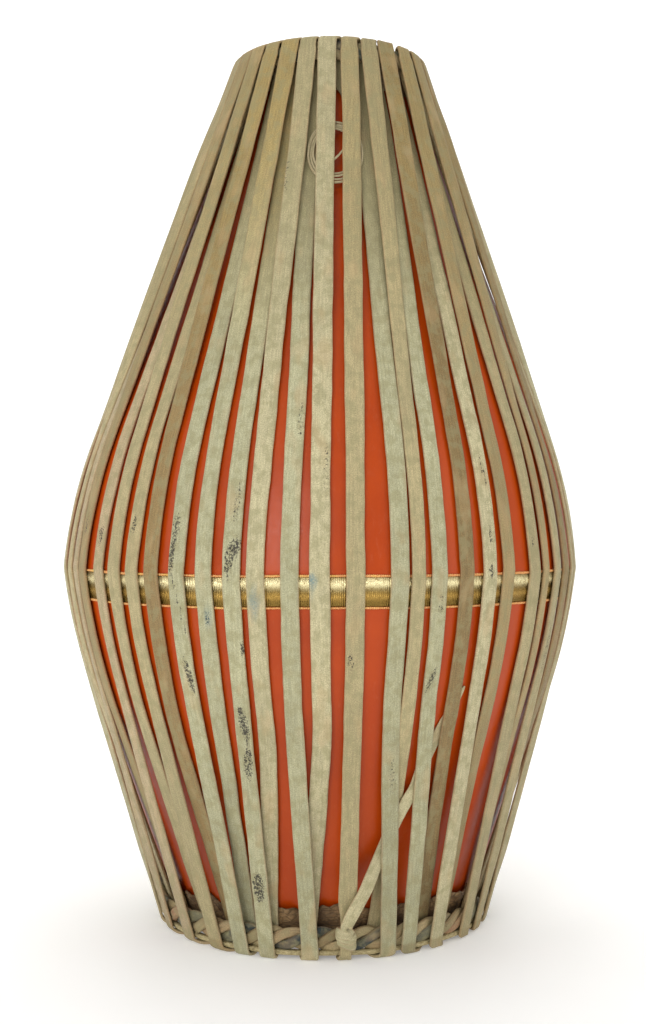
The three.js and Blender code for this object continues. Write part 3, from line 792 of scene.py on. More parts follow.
def tail_piece():
    """The knot at the bass hoop and the loose tail that goes on from it as one strap."""
    wraps, wraps_out = knot_wraps()
    course = spline(np.concatenate([TAIL_COURSE[:1], TAIL_COURSE, TAIL_COURSE[-1:]]), 8)
    tail = place(shell_radius(course[:, 1], course[:, 2]), course[:, 1], course[:, 0])
    tail_out = radial(course[:, 0]) * math.cos(LOWER_TILT) - UP * math.sin(LOWER_TILT)
    points = np.concatenate([wraps[:-2], tail])
    outward = np.concatenate([wraps_out[:-2], tail_out])
    count, knot = len(points), len(wraps) - 2
    along = np.arange(count)
    width = np.interp(along, [0, knot, knot + 16, count - 20, count - 1], [6.6, 6.6, 8.4, 8.2, 0.7])
    width = width + 0.25 * noise_curve(51, along / 9)
    thickness = np.interp(along, [0, knot, knot + 26, count - 25, count - 1],
                          [3.0, 3.0, 1.7, 1.0, 0.6])
    # The strap is plump in the knot and flattens as it leaves it.
    plump = 1 - smooth(along, knot - 4, knot + 14)[:, None, None]
    flat_strap = strap(points, outward, width, thickness, LACE_SECTION)
    round_strap = strap(points, outward, width, thickness, circle(len(LACE_SECTION), -np.pi))
    sections = flat_strap * (1 - plump) + round_strap * plump
    verts, faces = strip_mesh(sections)
    columns = len(LACE_SECTION)
    shade = 1 + 0.06 * noise_curve(52, along / 12)
    tint = np.repeat(PALE[None, :] * 0.97 * shade[:, None], columns, axis=0)
    travel = np.concatenate([[0], np.cumsum(np.linalg.norm(np.diff(points, axis=0), axis=1))])
    uv = np.stack([np.ones((count, 1)) * (LACE_SECTION[:, 0] + 1) / 2,
                   (travel * MM + TAIL_SHIFT)[:, None] * np.ones((1, columns))], axis=-1)
    return add_piece("knot_and_tail", verts, faces, ["tail_lace"],
                     uv=uv.reshape(-1, 2), tint=tint, stain=0, blue=0)


RING = ring_piece()
TAIL = tail_piece()

# ---------------------------------------------------------------- shell


def shell_piece():
    belly = belly_points(np.linspace(-LOWER_TILT, UPPER_TILT, 70))
    low_rim, high_rim = BASS_RIM[1], TREBLE_RIM[1]
    low_z = np.linspace(low_rim + 2.4, belly[0, 1] - 4, 22)
    high_z = np.linspace(belly[-1, 1] + 4, high_rim - 2.4, 30)
    outer = np.concatenate([np.stack([shell_radius(low_z), low_z], axis=1), belly,
                            np.stack([shell_radius(high_z), high_z], axis=1)])
    top_in = TREBLE_RIM[0] - WALL / math.cos(UPPER_TILT)
    low_in = BASS_RIM[0] - WALL / math.cos(LOWER_TILT)
    top = [(TREBLE_RIM[0] + 0.1, high_rim - RIM_ROUND), (TREBLE_RIM[0] - 0.8, high_rim),
           (top_in + 0.8, high_rim), (top_in + 0.1, high_rim - RIM_ROUND)]
    inner = [(float(shell_radius(z, -WALL)), z) for z in np.linspace(high_rim - 4, low_rim + 4, 40)]
    low = [(low_in + 0.1, low_rim + RIM_ROUND), (low_in + 0.8, low_rim),
           (BASS_RIM[0] - 0.8, low_rim), (BASS_RIM[0] + 0.1, low_rim + RIM_ROUND)]
    profile = np.concatenate([outer, top, inner, low])

    def uneven(r, z, angle):
        # Hand-laid shells are a little out of round and slightly rippled.
        ripple = 0.10 * ring_noise(3, angle, 24) + 0.05 * ring_noise(4, angle + z * 0.4, 60)
        return r + ripple * smooth(z, 20, 60) * (1 - smooth(z, 540, 570)), z

    return revolve(profile, 240, "gloss_shell", ["shell"], uneven)


SHELL = shell_piece()

# ---------------------------------------------------------------- heads


# Each mouth's rim, the shell's tilt and slope there, which way is out, how far the skirt
# reaches, how far it can bulge, and its numbers of folds, creases and segments.
HEADS = {
    "bass": dict(rim=BASS_RIM, tilt=LOWER_TILT, slope=LOWER_SLOPE, face=-1, reach=23.0, room=4.2,
                 folds=96, creases=220, segments=720),
    "treble": dict(rim=TREBLE_RIM, tilt=UPPER_TILT, slope=UPPER_SLOPE, face=1, reach=24.0, room=3.0,
                   folds=60, creases=120, segments=480),
}
SKIN_GAP = 0.3
SKIN_THICKNESS = 1.1
# Distance from the rim's plane to the pieces pasted on the skin, and the lining's thickness.
PASTED_LEVEL = 1.6
LINING_THICKNESS = 1.0


def inner_angles(end):
    """Angles of the runs that press on the skirt inside the hoop."""
    runs = [k for k in range(RUN_COUNT) if hold_of(k, end) == HOLD[end, "inner"]]
    column = 0 if end == "treble" else 2
    return np.array([run_angles(k)[column] for k in runs])


def skin_profile(head):
    """Closed (r, z) outline of half a skin: its flat face and its skirt, outside then inside."""
    rim, face = head["rim"], head["face"]
    inside_z = rim[1] + face * SKIN_GAP
    outside_z = inside_z + face * SKIN_THICKNESS
    flat_r = rim[0] - 1.2
    radii = np.concatenate([np.linspace(6, flat_r - 8, 14), np.linspace(flat_r - 5, flat_r, 3)])

    def side(offset):
        return [(rim[0] + offset / math.cos(head["tilt"]) + head["slope"] * t, rim[1] - face * t)
                for t in np.linspace(1.4, head["reach"], 20)]

    bend_out = [(rim[0] + 0.5, outside_z - face * 0.15),
                (rim[0] + SKIN_GAP + SKIN_THICKNESS - 0.25, outside_z - face * 0.75)]
    bend_in = [(rim[0] + SKIN_GAP - 0.1, inside_z - face * 0.2)]
    outside = ([(0, outside_z)] + [(r, outside_z) for r in radii] + bend_out
               + side(SKIN_GAP + SKIN_THICKNESS))
    inside = [(0, inside_z)] + [(r, inside_z) for r in radii] + bend_in + side(SKIN_GAP)
    return np.concatenate([outside, inside[::-1]])


def skin_piece(end):
    """A skin stretched over a mouth, its wetted skirt pulled up and ruffled by the laces."""
    head = HEADS[end]
    rim, face, reach = head["rim"], head["face"], head["reach"]
    held = inner_angles(end)

    def ruffle(r, z, angle):
        gap = np.abs((angle[..., None] - held + 180) % 360 - 180).min(axis=-1)
        gap = gap / 360 * 2 * np.pi * rim[0]
        open_share = smooth(gap, 4.5, 9.5)
        height = (z - rim[1]) * -face
        climbed = smooth(height, 6, reach)
        fold = 0.5 + 0.5 * ring_noise(11, angle + 0.25 * height, head["folds"])
        crease = ring_noise(12, angle - 0.4 * height, head["creases"])
        bulge = climbed * open_share * (head["room"] * fold + 0.5 * crease)
        pinch = climbed * (1 - open_share) * 0.25 * fold
        edge = 1 + 0.11 * ring_noise(13, angle, 70) + 0.06 * ring_noise(14, angle, 190)
        edge = edge + 0.06 * open_share * ring_noise(15, angle, 44)
        skirt = height > 3
        moved = rim[1] - face * np.where(skirt, height * (1 + (edge - 1) * climbed), height)
        flat = (np.abs(z - rim[1] - face * SKIN_GAP) < 2) & (r < rim[0] - 0.2)
        sag = np.where(flat, face * 0.25 * ring_noise(16, angle, 40) * smooth(r, 60, 98), 0)
        growth = (moved - z) * -face * head["slope"]
        return r + bulge + pinch + np.where(skirt, growth, 0), moved + sag * 0.4

    profile = skin_profile(head)[::-face]
    piece = revolve(profile, head["segments"], f"{end}_head_skin", [f"{end}_skin"], ruffle)
    return piece


def lining_piece(end, inner, outer):
    """A ring of hide pasted on the skin, its inner edge cut by hand."""
    rim, face = HEADS[end]["rim"], HEADS[end]["face"]
    near = rim[1] + face * PASTED_LEVEL
    far = near + face * LINING_THICKNESS
    low, high = min(near, far), max(near, far)
    steps = np.linspace(inner, outer, 12)
    profile = ([(inner + 0.3, low)] + [(r, low) for r in steps[1:-1]] + [(outer - 0.3, low)]
               + [(outer, low + 0.3), (outer, high - 0.3), (outer - 0.3, high)]
               + [(r, high) for r in steps[-2:0:-1]] + [(inner + 0.3, high), (inner, high - 0.3),
                                                         (inner, low + 0.3)])

    def uneven(r, z, angle):
        cut = 1 - smooth(r, inner, inner + 8)
        wave = 0.06 * ring_noise(21, angle, 90) * smooth(r, inner, outer)
        return r + cut * (0.9 * ring_noise(22, angle, 26) + 0.3 * ring_noise(23, angle, 90)), z + wave

    piece = revolve(profile, 360, f"{end}_lining", [f"{end}_lining_skin"], uneven)
    return piece


def paste_piece(end, outer, height):
    """The domed disc of tuning paste, rubbed on in thin layers."""
    rim, face = HEADS[end]["rim"], HEADS[end]["face"]
    base = rim[1] + face * PASTED_LEVEL
    share = np.concatenate([np.linspace(0.04, 0.86, 22), [0.9, 0.94, 0.97, 0.99, 1.0]])
    dome = height * np.sqrt(1 - share ** 2 * 0.97)
    top = [(0, base + face * height)] + [(outer * s, base + face * d) for s, d in zip(share, dome)]
    bottom = [(outer * s, base) for s in (0.995, 0.9, 0.6, 0.3, 0.05)] + [(0, base)]
    profile = np.array(top + bottom)[::-face]

    def rubbed(r, z, angle):
        layers = 0.05 * np.sin(r * 2.4) + 0.07 * ring_noise(31, angle + r, 60)
        raised = (np.abs(z - base) > 0.3) * smooth(r, 1, 6)
        return r * (1 + 0.012 * ring_noise(32, angle, 30)), z + face * layers * raised

    return revolve(profile, 240, f"{end}_paste", [f"{end}_tuning_paste"], rubbed)


SKINS = [skin_piece("bass"), skin_piece("treble")]
LININGS = [lining_piece("bass", 62, 99), lining_piece("treble", 31, 53)]
PASTES = [paste_piece("bass", 46, 2.2), paste_piece("treble", 24, 2.2)]

# ---------------------------------------------------------------- hoops

# Each hoop's middle (radius and height), the slope of its side, the way and number of its
# twists, how far a strand swings along and out of the side, and a strand's width and thickness.
HOOPS = {
    "bass": dict(middle=(110.3, 13.4), slope=0.31, sign=1, twists=16, reach=(4.6, 1.7),
                 size=(7.2, 3.3)),
    "treble": dict(middle=(64.0, 574.4), slope=-0.36, sign=-1, twists=9, reach=(4.3, 1.6),
                   size=(7.0, 3.1)),
}
STRAND_PALE, STRAND_OCHRE = linear(178, 160, 118), linear(168, 130, 96)
# Letter, a slot name and the two colours of each strand.
STRAND_KINDS = [
    ("a", "strand_light", STRAND_PALE, linear(150, 128, 90)),
    ("b", "strand_blue", linear(56, 66, 66), linear(120, 116, 90)),
    ("c", "strand_ochre", STRAND_OCHRE, STRAND_PALE),
]


def hoop_strand(end, strand):
    hoop = HOOPS[end]
    letter, slot, colour, other_colour = STRAND_KINDS[strand]
    tilt = math.atan(hoop["slope"])
    steps = hoop["twists"] * 26
    angle = np.arange(steps) * 360 / steps
    phase = np.radians(angle * hoop["twists"] * hoop["sign"] + strand * 120
                       + 16 * ring_noise(61, angle, hoop["twists"] * 2))
    up = hoop["reach"][0] * np.sin(phase) * (1 + 0.10 * ring_noise(62 + strand, angle, 30))
    out = hoop["reach"][1] * np.cos(phase)
    radius = hoop["middle"][0] + out * math.cos(tilt) + up * math.sin(tilt)
    height = hoop["middle"][1] - out * math.sin(tilt) + up * math.cos(tilt)
    points = place(radius, height, angle)
    outward = radial(angle) * math.cos(tilt) - UP * math.sin(tilt)
    turn = np.linspace(0, 2 * np.pi, 18, endpoint=False)
    section = np.stack([np.sign(np.cos(turn)) * np.abs(np.cos(turn)) ** 0.8,
                        np.sign(np.sin(turn)) * np.abs(np.sin(turn)) ** 0.9], axis=1)
    width = hoop["size"][0] * (1 + 0.13 * ring_noise(65 + strand, angle, 50))
    thickness = hoop["size"][1] * (1 + 0.10 * ring_noise(68 + strand, angle, 64))
    sections = strap(points, outward, width, thickness, section, closed=True)
    middle = points[:, None, :]
    crease = 1 + 0.07 * np.sin(5 * turn[None, :] + 4 * ring_noise(71 + strand, angle, 40)[:, None])
    sections = middle + (sections - middle) * crease[..., None]
    verts, faces = strip_mesh(sections, closed=True)
    mix = np.clip(0.5 + 0.9 * ring_noise(74 + strand, angle, 30), 0, 1)[:, None]
    tint = np.repeat(colour * (1 - mix) + other_colour * mix, len(turn), axis=0)
    return add_piece(f"{end}_hoop_{letter}", verts, faces, [f"{end}_hoop_strand_{letter}"],
                     uv=simple_uv(sections, HOOP_SHIFT + strand), tint=tint,
                     stain=np.repeat(0.35 + 0.3 * ring_noise(77, angle, 50), len(turn)), blue=0)


STRANDS = [hoop_strand(end, strand) for end in ("bass", "treble") for strand in range(3)]


def rim_lace_piece():
    """The flat lace that runs round the bass edge under the hoop."""
    profile = np.array([(106.9, 2.9), (107.6, 2.5), (109.0, 2.6), (110.2, 3.0), (110.7, 3.6),
                        (110.9, 4.6), (110.8, 5.6), (110.2, 6.0), (108.8, 6.0), (107.4, 6.0),
                        (106.9, 5.4)])

    def uneven(r, z, angle):
        return r + 0.18 * ring_noise(81, angle, 90), z + 0.2 * ring_noise(82, angle, 46)

    return revolve(profile, 480, "bass_edge_lace", ["bass_rim_lace"], uneven)


RIM_LACE = rim_lace_piece()

# ---------------------------------------------------------------- ribbon

RIBBON_LOW, RIBBON_HIGH = 221.4, 238.4
RIBBON_GAP = 0.2
LOOP_COUNT = 900
# Gold tints of the ribbon: a painted highlight for the upper roll, the ribbon's own gold for the
# lower roll, and painted shade for the crease between the rolls and along both edges.
GOLD_PAINTED_HIGHLIGHT, GOLD_MIDDLE = linear(252, 238, 184), linear(176, 140, 68)
GOLD_PAINTED_CREASE_SHADE = linear(124, 98, 40)


def ribbon_share(z):
    return (z - RIBBON_LOW) / (RIBBON_HIGH - RIBBON_LOW)


def ribbon_drift(angle):
    """How far the ribbon and its selvedges wander up and down round the belly."""
    return 0.35 * ring_noise(93, angle, 18) + 0.12 * ring_noise(94, angle, 60)


def bulge(share, middle, half):
    return np.exp(-((share - middle) / half) ** 2)


def ribbon_piece():
    """The gold ribbon: a plump roll above a flatter one, with a crease between them."""
    z = np.linspace(RIBBON_LOW, RIBBON_HIGH, 36)
    share = ribbon_share(z)
    rise = 0.26 + 0.90 * bulge(share, 0.76, 0.155) + 0.58 * bulge(share, 0.33, 0.14)
    outer = np.stack([shell_radius(z, 0.15) + rise, z], axis=1)
    inner = np.stack([shell_radius(z, RIBBON_GAP), z], axis=1)[::-1]
    profile = np.concatenate([outer, inner])

    def crumple(r, z, angle):
        rise = np.clip(r - shell_radius(z, RIBBON_GAP), 0, None)
        slant = angle + 5 * ribbon_share(z)
        wave = 0.16 * ring_noise(91, slant, 110) + 0.10 * ring_noise(92, angle, 300)
        drift = ribbon_drift(angle) + 0.5 * rise * ring_noise(97, angle, 44)
        return r + np.clip(rise, 0, 0.9) * wave, z + drift

    # Painted light: the upper roll is tinted with a painted highlight, and the crease between the
    # rolls and both edges with painted shade.
    def shade(r, z, angle):
        share = (ribbon_share(z) + 0.03 * ring_noise(98, angle, 70))[..., None]
        return (GOLD_PAINTED_CREASE_SHADE + (GOLD_PAINTED_HIGHLIGHT - GOLD_PAINTED_CREASE_SHADE) * bulge(share, 0.78, 0.17)
                + (GOLD_MIDDLE - GOLD_PAINTED_CREASE_SHADE) * bulge(share, 0.32, 0.13))

    return revolve(profile, 1080, "gold_ribbon", ["belly_ribbon"], crumple, shade)


def ribbon_edge(name, node, low, high, seed):
    """A selvedge of tiny loops of thread."""
    middle = (low + high) / 2
    half = (high - low) / 2
    turn = np.linspace(0, 2 * np.pi, 8, endpoint=False)
    base = float(shell_radius(middle, 0.62))
    profile = np.stack([base + 0.42 * np.cos(turn), middle + half * np.sin(turn)], axis=1)

    def loops(r, z, angle):
        beat = np.cos(np.radians(angle * LOOP_COUNT))
        out = (r - base) * (1 + 0.30 * beat)
        up = (z - middle) * (1 + 0.22 * beat + 0.15 * ring_noise(seed, angle, 260))
        return base + out + 0.08 * beat, middle + up + ribbon_drift(angle)

    return revolve(profile, LOOP_COUNT * 4, name, [node], loops)


RIBBON = ribbon_piece()
EDGES = [
    ribbon_edge("ribbon_selvedge_top", "ribbon_edge_upper", 238.5, 239.9, 95),
    ribbon_edge("ribbon_selvedge_low", "ribbon_edge_lower", 220.0, 221.3, 96),
]

# ---------------------------------------------------------------- materials


class Tree:
    """A short way to write a node material."""

    def __init__(self, name):
        self.material = bpy.data.materials.new(name)
        self.material.use_nodes = True
        self.nodes = self.material.node_tree.nodes
        self.links = self.material.node_tree.links
        self.shader = self.nodes["Principled BSDF"]

    def node(self, kind, inputs=None, **settings):
        node = self.nodes.new(kind)
        for key, value in settings.items():
            setattr(node, key, value)
        for key, value in (inputs or {}).items():
            self.feed(node.inputs[key], value)
        return node

    def feed(self, socket, value):
        if isinstance(value, bpy.types.NodeSocket):
            self.links.new(value, socket)
        elif isinstance(value, np.ndarray):
            socket.default_value = (*[float(x) for x in value], 1.0)
        else:
            socket.default_value = value

    def math(self, operation, *values, clamp=False):
        node = self.nodes.new("ShaderNodeMath")
        node.operation = operation
        node.use_clamp = clamp
        for k, value in enumerate(values):
            self.feed(node.inputs[k], value)
        return node.outputs[0]

    def mix(self, share, a, b, blend="MIX"):
        node = self.nodes.new("ShaderNodeMix")
        node.data_type = "RGBA"
        node.blend_type = blend
        node.clamp_factor = True
        self.feed(node.inputs[0], share)
        self.feed(node.inputs[6], a)
        self.feed(node.inputs[7], b)
        return node.outputs[2]

    def ramp(self, value, low, high, out_low=0.0, out_high=1.0):
        """Smooth change from out_low to out_high as value goes from low to high."""
        node = self.node("ShaderNodeMapRange", {0: value, 1: low, 2: high, 3: out_low, 4: out_high},
                         interpolation_type="SMOOTHSTEP")
        return node.outputs[0]

    def over(self, base, value, low, high, amount, colour):
        """base with that much of a colour laid over it where value goes from low to high."""
        return self.mix(self.ramp(value, low, high, 0.0, amount), base, colour)

    def noise(self, vector, detail, roughness, distortion=0.0):
        node = self.node("ShaderNodeTexNoise", {"Scale": 1.0, "Detail": detail,
                                                "Roughness": roughness, "Distortion": distortion})
        self.links.new(vector, node.inputs["Vector"])
        return node.outputs[0]

    def cell_edges(self, vector):
        """Distance to the nearest edge of a net of cells."""
        node = self.node("ShaderNodeTexVoronoi", {"Scale": 1.0}, feature="DISTANCE_TO_EDGE")
        self.links.new(vector, node.inputs["Vector"])
        return node.outputs["Distance"]

    def attribute(self, name, output="Fac"):
        return self.node("ShaderNodeAttribute", attribute_name=name).outputs[output]

    def scaled(self, source, scale):
        node = self.node("ShaderNodeMapping", {"Scale": tuple(scale)})
        self.links.new(source, node.inputs["Vector"])
        return node.outputs[0]

    def coords(self, *scale):
        """Object coordinates in millimetres times one scale, or one for each axis."""
        source = self.node("ShaderNodeTexCoord").outputs["Object"]
        return self.scaled(source, [s / MM for s in (scale if len(scale) == 3 else scale * 3)])

    def strip_uv(self):
        return self.node("ShaderNodeUVMap", uv_map="strip").outputs[0]

    def strip(self, across, along):
        """The strip's own coordinates: across 0 to 1 and along in millimetres, times scale."""
        return self.scaled(self.strip_uv(), [across, along / MM, 1.0])

    def split(self, vector):
        return self.node("ShaderNodeSeparateXYZ", {0: vector}).outputs

    def bump(self, height, strength, distance, normal=None):
        node = self.node("ShaderNodeBump", {"Height": height, "Strength": strength,
                                            "Distance": distance})
        if normal is not None:
            self.links.new(normal, node.inputs["Normal"])
        return node.outputs[0]

    def finish(self, colour, roughness, normal, **sockets):
        self.feed(self.shader.inputs["Base Color"], colour)
        self.feed(self.shader.inputs["Roughness"], roughness)
        if normal is not None:
            self.links.new(normal, self.shader.inputs["Normal"])
        for key, value in sockets.items():
            self.shader.inputs[key.replace("_", " ")].default_value = value
        return self.material


def hide_material():
    """Dry rawhide: long fibres, mottling, pinkish cut edges, black speckle and blue dye."""
    t = Tree("rawhide")
    tint = t.attribute("tint", "Color")
    stain, blue = t.attribute("stain"), t.attribute("blue")
    fibre = t.noise(t.strip(9.0, 0.05), 4.0, 0.65)
    thread = t.noise(t.strip(26.0, 0.22), 2.0, 0.6)
    mottle = t.noise(t.strip(1.6, 0.13), 4.0, 0.6)
    grain = t.noise(t.strip(12.0, 1.1), 3.0, 0.6)
    patch = t.noise(t.strip(0.8, 0.035), 2.0, 0.5)
    speck = t.noise(t.strip(14.0, 1.6), 5.0, 0.75)
    bright = t.math("MULTIPLY", t.ramp(fibre, 0.32, 0.68, 0.84, 1.09),
                    t.ramp(speck, 0.36, 0.64, 0.68, 1.14))
    grey = t.node("ShaderNodeCombineColor", {0: bright, 1: bright, 2: bright}).outputs[0]
    colour = t.mix(1.0, tint, grey, "MULTIPLY")
    colour = t.over(colour, mottle, 0.44, 0.62, 0.52, linear(150, 143, 104))
    colour = t.over(colour, patch, 0.54, 0.72, 0.32, linear(192, 162, 118))
    colour = t.over(colour, grain, 0.56, 0.74, 0.40, linear(122, 104, 74))
    colour = t.over(colour, thread, 0.62, 0.80, 0.18, linear(214, 203, 170))
    edge = t.math("ABSOLUTE", t.math("SUBTRACT", t.split(t.strip_uv())[0], 0.5))
    colour = t.over(colour, edge, 0.42, 0.49, 0.30, linear(176, 140, 106))
    fine = t.noise(t.strip(8.0, 0.7), 5.0, 0.74, 0.7)
    reach = t.math("ADD", fine, t.math("MULTIPLY", t.math("SUBTRACT", stain, 1.0), 0.34))
    colour = t.over(colour, reach, 0.445, 0.50, 0.92, linear(48, 42, 38))
    stray = t.noise(t.strip(6.0, 0.5), 5.0, 0.78)
    colour = t.over(colour, stray, 0.66, 0.72, 0.65, linear(86, 70, 54))
    dyed = t.math("MULTIPLY", blue, t.ramp(grain, 0.3, 0.6, 0.3, 1.0))
    colour = t.mix(t.math("MULTIPLY", dyed, 0.7), colour, linear(74, 124, 138))
    height = t.math("ADD", t.math("MULTIPLY", speck, 0.6), t.math("MULTIPLY", grain, 0.5))
    normal = t.bump(height, 0.60, 0.0006, t.bump(fibre, 0.30, 0.0004))
    rough = t.ramp(mottle, 0.3, 0.7, 0.56, 0.74)
    return t.finish(colour, rough, normal, Specular_IOR_Level=0.38)


def rim_material():
    """The rim lace's hide: long streaks round the drum and dark grain."""
    t = Tree("rim_hide")
    long_noise = t.noise(t.scaled(t.strip_uv(), (260.0, 1600.0, 1.0)), 4.0, 0.6)
    grain = t.noise(t.coords(0.6), 4.0, 0.6)
    colour = t.mix(t.ramp(long_noise, 0.35, 0.65), linear(150, 134, 92), linear(198, 184, 138))
    colour = t.over(colour, grain, 0.52, 0.7, 0.6, linear(112, 92, 60))
    normal = t.bump(t.math("ADD", long_noise, grain), 0.5, 0.0005)
    return t.finish(colour, 0.62, normal, Specular_IOR_Level=0.4)


def shell_material():
    """Orange gloss gel coat: clear top coat, faint orange peel, dust, rubs and scratches."""
    t = Tree("orange_gel_coat")
    cloud = t.noise(t.coords(0.012, 0.012, 0.018), 4.0, 0.55)
    dust = t.noise(t.coords(0.35, 0.35, 0.12), 5.0, 0.7)
    speck = t.noise(t.coords(1.3), 2.0, 0.5)
    line = t.noise(t.coords(0.05, 0.05, 1.1), 4.0, 0.75, 0.4)
    colour = t.mix(t.ramp(cloud, 0.35, 0.65), linear(178, 62, 1), linear(190, 70, 3))
    colour = t.over(colour, dust, 0.52, 0.80, 0.12, linear(196, 128, 92))
    colour = t.over(colour, speck, 0.74, 0.79, 0.45, linear(110, 40, 16))
    rough = t.ramp(dust, 0.3, 0.75, 0.30, 0.48)
    peel = t.noise(t.coords(0.22), 2.0, 0.4)
    normal = t.bump(line, 0.10, 0.0002, t.bump(peel, 0.12, 0.0006))
    return t.finish(colour, rough, normal, Coat_Weight=0.10, Coat_Roughness=0.26,
                    Specular_IOR_Level=0.26)


def skin_material(name, light, dark, scale):
    """Wetted hide dried on the rim: yellowish brown, wrinkled, with dark pores and creases."""
    t = Tree(name)
    cloud = t.noise(t.coords(0.05 * scale), 4.0, 0.6, 0.5)
    pore = t.noise(t.coords(0.5 * scale), 5.0, 0.65)
    wrinkle = t.cell_edges(t.coords(0.16 * scale, 0.16 * scale, 0.34 * scale))
    crease = t.ramp(wrinkle, 0.0, 0.16)
    colour = t.mix(t.ramp(cloud, 0.35, 0.66), dark, light)
    colour = t.over(colour, pore, 0.5, 0.75, 0.5, dark * 0.7)
    colour = t.mix(t.ramp(crease, 0.0, 1.0, 0.45, 0.0), colour, dark * 0.55)
    height = t.math("ADD", t.math("MULTIPLY", crease, 0.7), t.math("MULTIPLY", pore, 0.3))
    return t.finish(colour, t.ramp(pore, 0.3, 0.7, 0.5, 0.72), t.bump(height, 0.5, 0.0008),
                    Specular_IOR_Level=0.4)


def paste_material():
    """Dried tuning paste: nearly black, rubbed in rings, finely crazed."""
    t = Tree("tuning_paste")
    x, y = t.split(t.coords(1.0))[:2]
    reach = t.math("SQRT", t.math("ADD", t.math("MULTIPLY", x, x), t.math("MULTIPLY", y, y)))
    rings = t.math("SINE", t.math("MULTIPLY", reach, 3.1))
    crack = t.ramp(t.cell_edges(t.coords(0.75)), 0.0, 0.06)
    grain = t.noise(t.coords(1.6), 4.0, 0.6)
    colour = t.mix(t.ramp(grain, 0.35, 0.7), linear(34, 32, 33), linear(66, 63, 62))
    colour = t.mix(t.ramp(crack, 0.0, 1.0, 0.8, 0.0), colour, linear(16, 15, 15))
    height = t.math("ADD", t.math("MULTIPLY", rings, 0.12), crack)
    rough = t.ramp(grain, 0.3, 0.7, 0.42, 0.66)
    return t.finish(colour, rough, t.bump(height, 0.5, 0.0003), Specular_IOR_Level=0.5)


RIB_COUNT, ROW_PITCH = 930, 0.7


def ribbon_material():
    """Metallic gold ribbon: ribs of foil across it that catch the light in points."""
    t = Tree("gold_foil_weave")
    around, along = t.split(t.strip_uv())[:2]
    ribs = t.math("SINE", t.math("MULTIPLY", around, 2 * math.pi * RIB_COUNT))
    rows = t.math("SINE", t.math("MULTIPLY", along, 2 * math.pi * 1000 / ROW_PITCH))
    glint = t.noise(t.coords(0.75, 0.75, 0.6), 4.0, 0.65)
    crush = t.noise(t.coords(0.16, 0.16, 0.30), 3.0, 0.55)
    dull = t.ramp(glint, 0.50, 0.66, 0.0, 0.62)
    # The tint attribute holds the ribbon's gold with a painted highlight on the upper roll and
    # painted shade in the crease and along the edges.
    colour = t.mix(dull, t.attribute("tint", "Color"), linear(132, 102, 42))
    height = t.math("ADD", t.math("MULTIPLY", ribs, 0.22), t.math("MULTIPLY", rows, 0.10))
    height = t.math("ADD", height, t.math("MULTIPLY", glint, 0.9))
    normal = t.bump(height, 0.60, 0.0005, t.bump(crush, 0.35, 0.0012))
    return t.finish(colour, t.ramp(glint, 0.35, 0.65, 0.18, 0.40), normal, Metallic=0.72)


def thread_material():
    """Twisted orange thread with gold patches."""
    t = Tree("selvedge_thread")
    twist = t.noise(t.scaled(t.strip_uv(), (900.0, 2600.0, 1.0)), 2.0, 0.5)
    patch = t.noise(t.coords(0.16), 3.0, 0.6)
    colour = t.mix(t.ramp(twist, 0.35, 0.65), linear(214, 120, 62), linear(246, 196, 122))
    colour = t.over(colour, patch, 0.5, 0.66, 0.7, linear(232, 190, 96))
    return t.finish(colour, 0.42, t.bump(twist, 0.5, 0.0003), Metallic=0.25,
                    Specular_IOR_Level=0.6)


def dress(pieces, material):
    for piece in pieces:
        piece.data.materials.clear()
        piece.data.materials.append(material)


dress([*LACES, RING, TAIL, *STRANDS], hide_material())
dress([RIM_LACE], rim_material())
dress([SHELL], shell_material())
dress(SKINS[:1], skin_material("bass_skin_hide", linear(152, 122, 84), linear(88, 66, 42), 1.0))
dress(SKINS[1:], skin_material("treble_skin_hide", linear(176, 150, 116), linear(128, 98, 66), 1.2))
dress(LININGS, skin_material("lining_hide", linear(188, 160, 122), linear(140, 108, 74), 1.3))
dress(PASTES, paste_material())
dress([RIBBON], ribbon_material())
dress(EDGES, thread_material())

# ---------------------------------------------------------------- studio


# Metres: half width, front edge and back edge of the flat floor, radius of the curve behind it
# and height of the backdrop.
FLOOR_HALF, FLOOR_FRONT, FLOOR_BACK, FLOOR_CURVE, BACKDROP_TOP = 3.2, -2.2, 1.6, 0.8, 3.2
PAPER_GLOW = 0.22
WORLD_LIGHT = 0.53
WHITE = (1.0, 1.0, 1.0, 1.0)
DRUM_MIDDLE = (0, 0, 0.3)
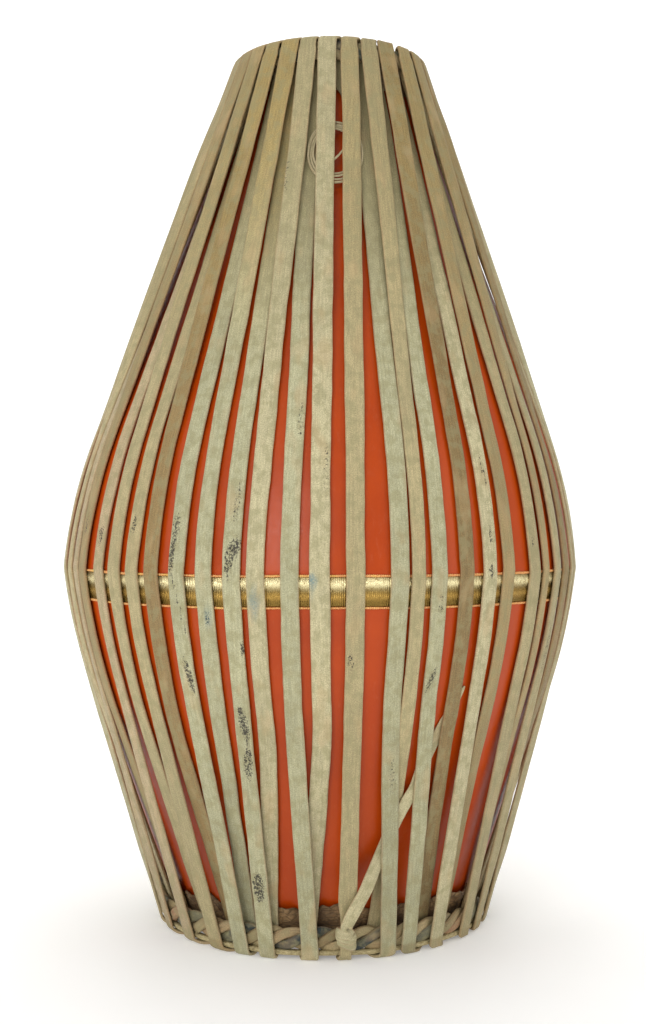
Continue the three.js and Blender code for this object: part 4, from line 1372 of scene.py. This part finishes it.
# Name, place, point aimed at, size in metres and power in watts.
SOFTBOXES = [
    ("key", (-0.55, -1.75, 0.75), DRUM_MIDDLE, (0.9, 0.7), 10.5),
    ("fill_right", (1.6, -1.1, 0.7), DRUM_MIDDLE, (1.2, 1.2), 5),
    ("fill_left", (-1.8, -0.6, 0.7), DRUM_MIDDLE, (1.2, 1.2), 4),
    ("top", (0, 0.1, 2.1), DRUM_MIDDLE, (1.4, 1.4), 8),
    ("back_wash", (0, 1.7, 2.6), (0, 2.3, 0.6), (2.4, 1.0), 26),
]


def paper_floor():
    """A pale floor that curves up into a backdrop."""
    profile = [(FLOOR_FRONT, 0.0)]
    profile += [(FLOOR_BACK + FLOOR_CURVE * math.sin(a), FLOOR_CURVE - FLOOR_CURVE * math.cos(a))
                for a in np.linspace(0, math.pi / 2, 16)]
    profile += [(FLOOR_BACK + FLOOR_CURVE, BACKDROP_TOP)]
    points = [(x, y, z) for y, z in profile for x in (-FLOOR_HALF, FLOOR_HALF)]
    faces = [(2 * k, 2 * k + 1, 2 * k + 3, 2 * k + 2) for k in range(len(profile) - 1)]
    mesh = bpy.data.meshes.new("studio_floor")
    mesh.from_pydata(points, [], faces)
    mesh.shade_smooth()
    floor = bpy.data.objects.new("studio_floor", mesh)
    bpy.context.scene.collection.objects.link(floor)
    t = Tree("studio_paper")
    colour = t.mix(t.noise(t.coords(0.02), 3.0, 0.5), linear(240, 240, 238), linear(246, 246, 245))
    paper = t.finish(colour, 0.9, None, Emission_Color=WHITE, Emission_Strength=PAPER_GLOW,
                     Specular_IOR_Level=0.1)
    dress([floor], paper)


def softbox(name, location, aim, size, power):
    data = bpy.data.lights.new(name, "AREA")
    data.shape = "RECTANGLE"
    data.size, data.size_y = size
    data.energy = power
    light = bpy.data.objects.new(name, data)
    light.location = location
    direction = np.array(aim) - np.array(location)
    light.rotation_euler = (
        math.atan2(math.hypot(direction[0], direction[1]), -direction[2]), 0,
        math.atan2(direction[1], direction[0]) - math.pi / 2)
    bpy.context.scene.collection.objects.link(light)


def white_world():
    world = bpy.data.worlds.new("studio_world")
    world.use_nodes = True
    background = world.node_tree.nodes["Background"]
    background.inputs[0].default_value = WHITE
    background.inputs[1].default_value = WORLD_LIGHT
    bpy.context.scene.world = world


paper_floor()
white_world()
for softbox_row in SOFTBOXES:
    softbox(*softbox_row)
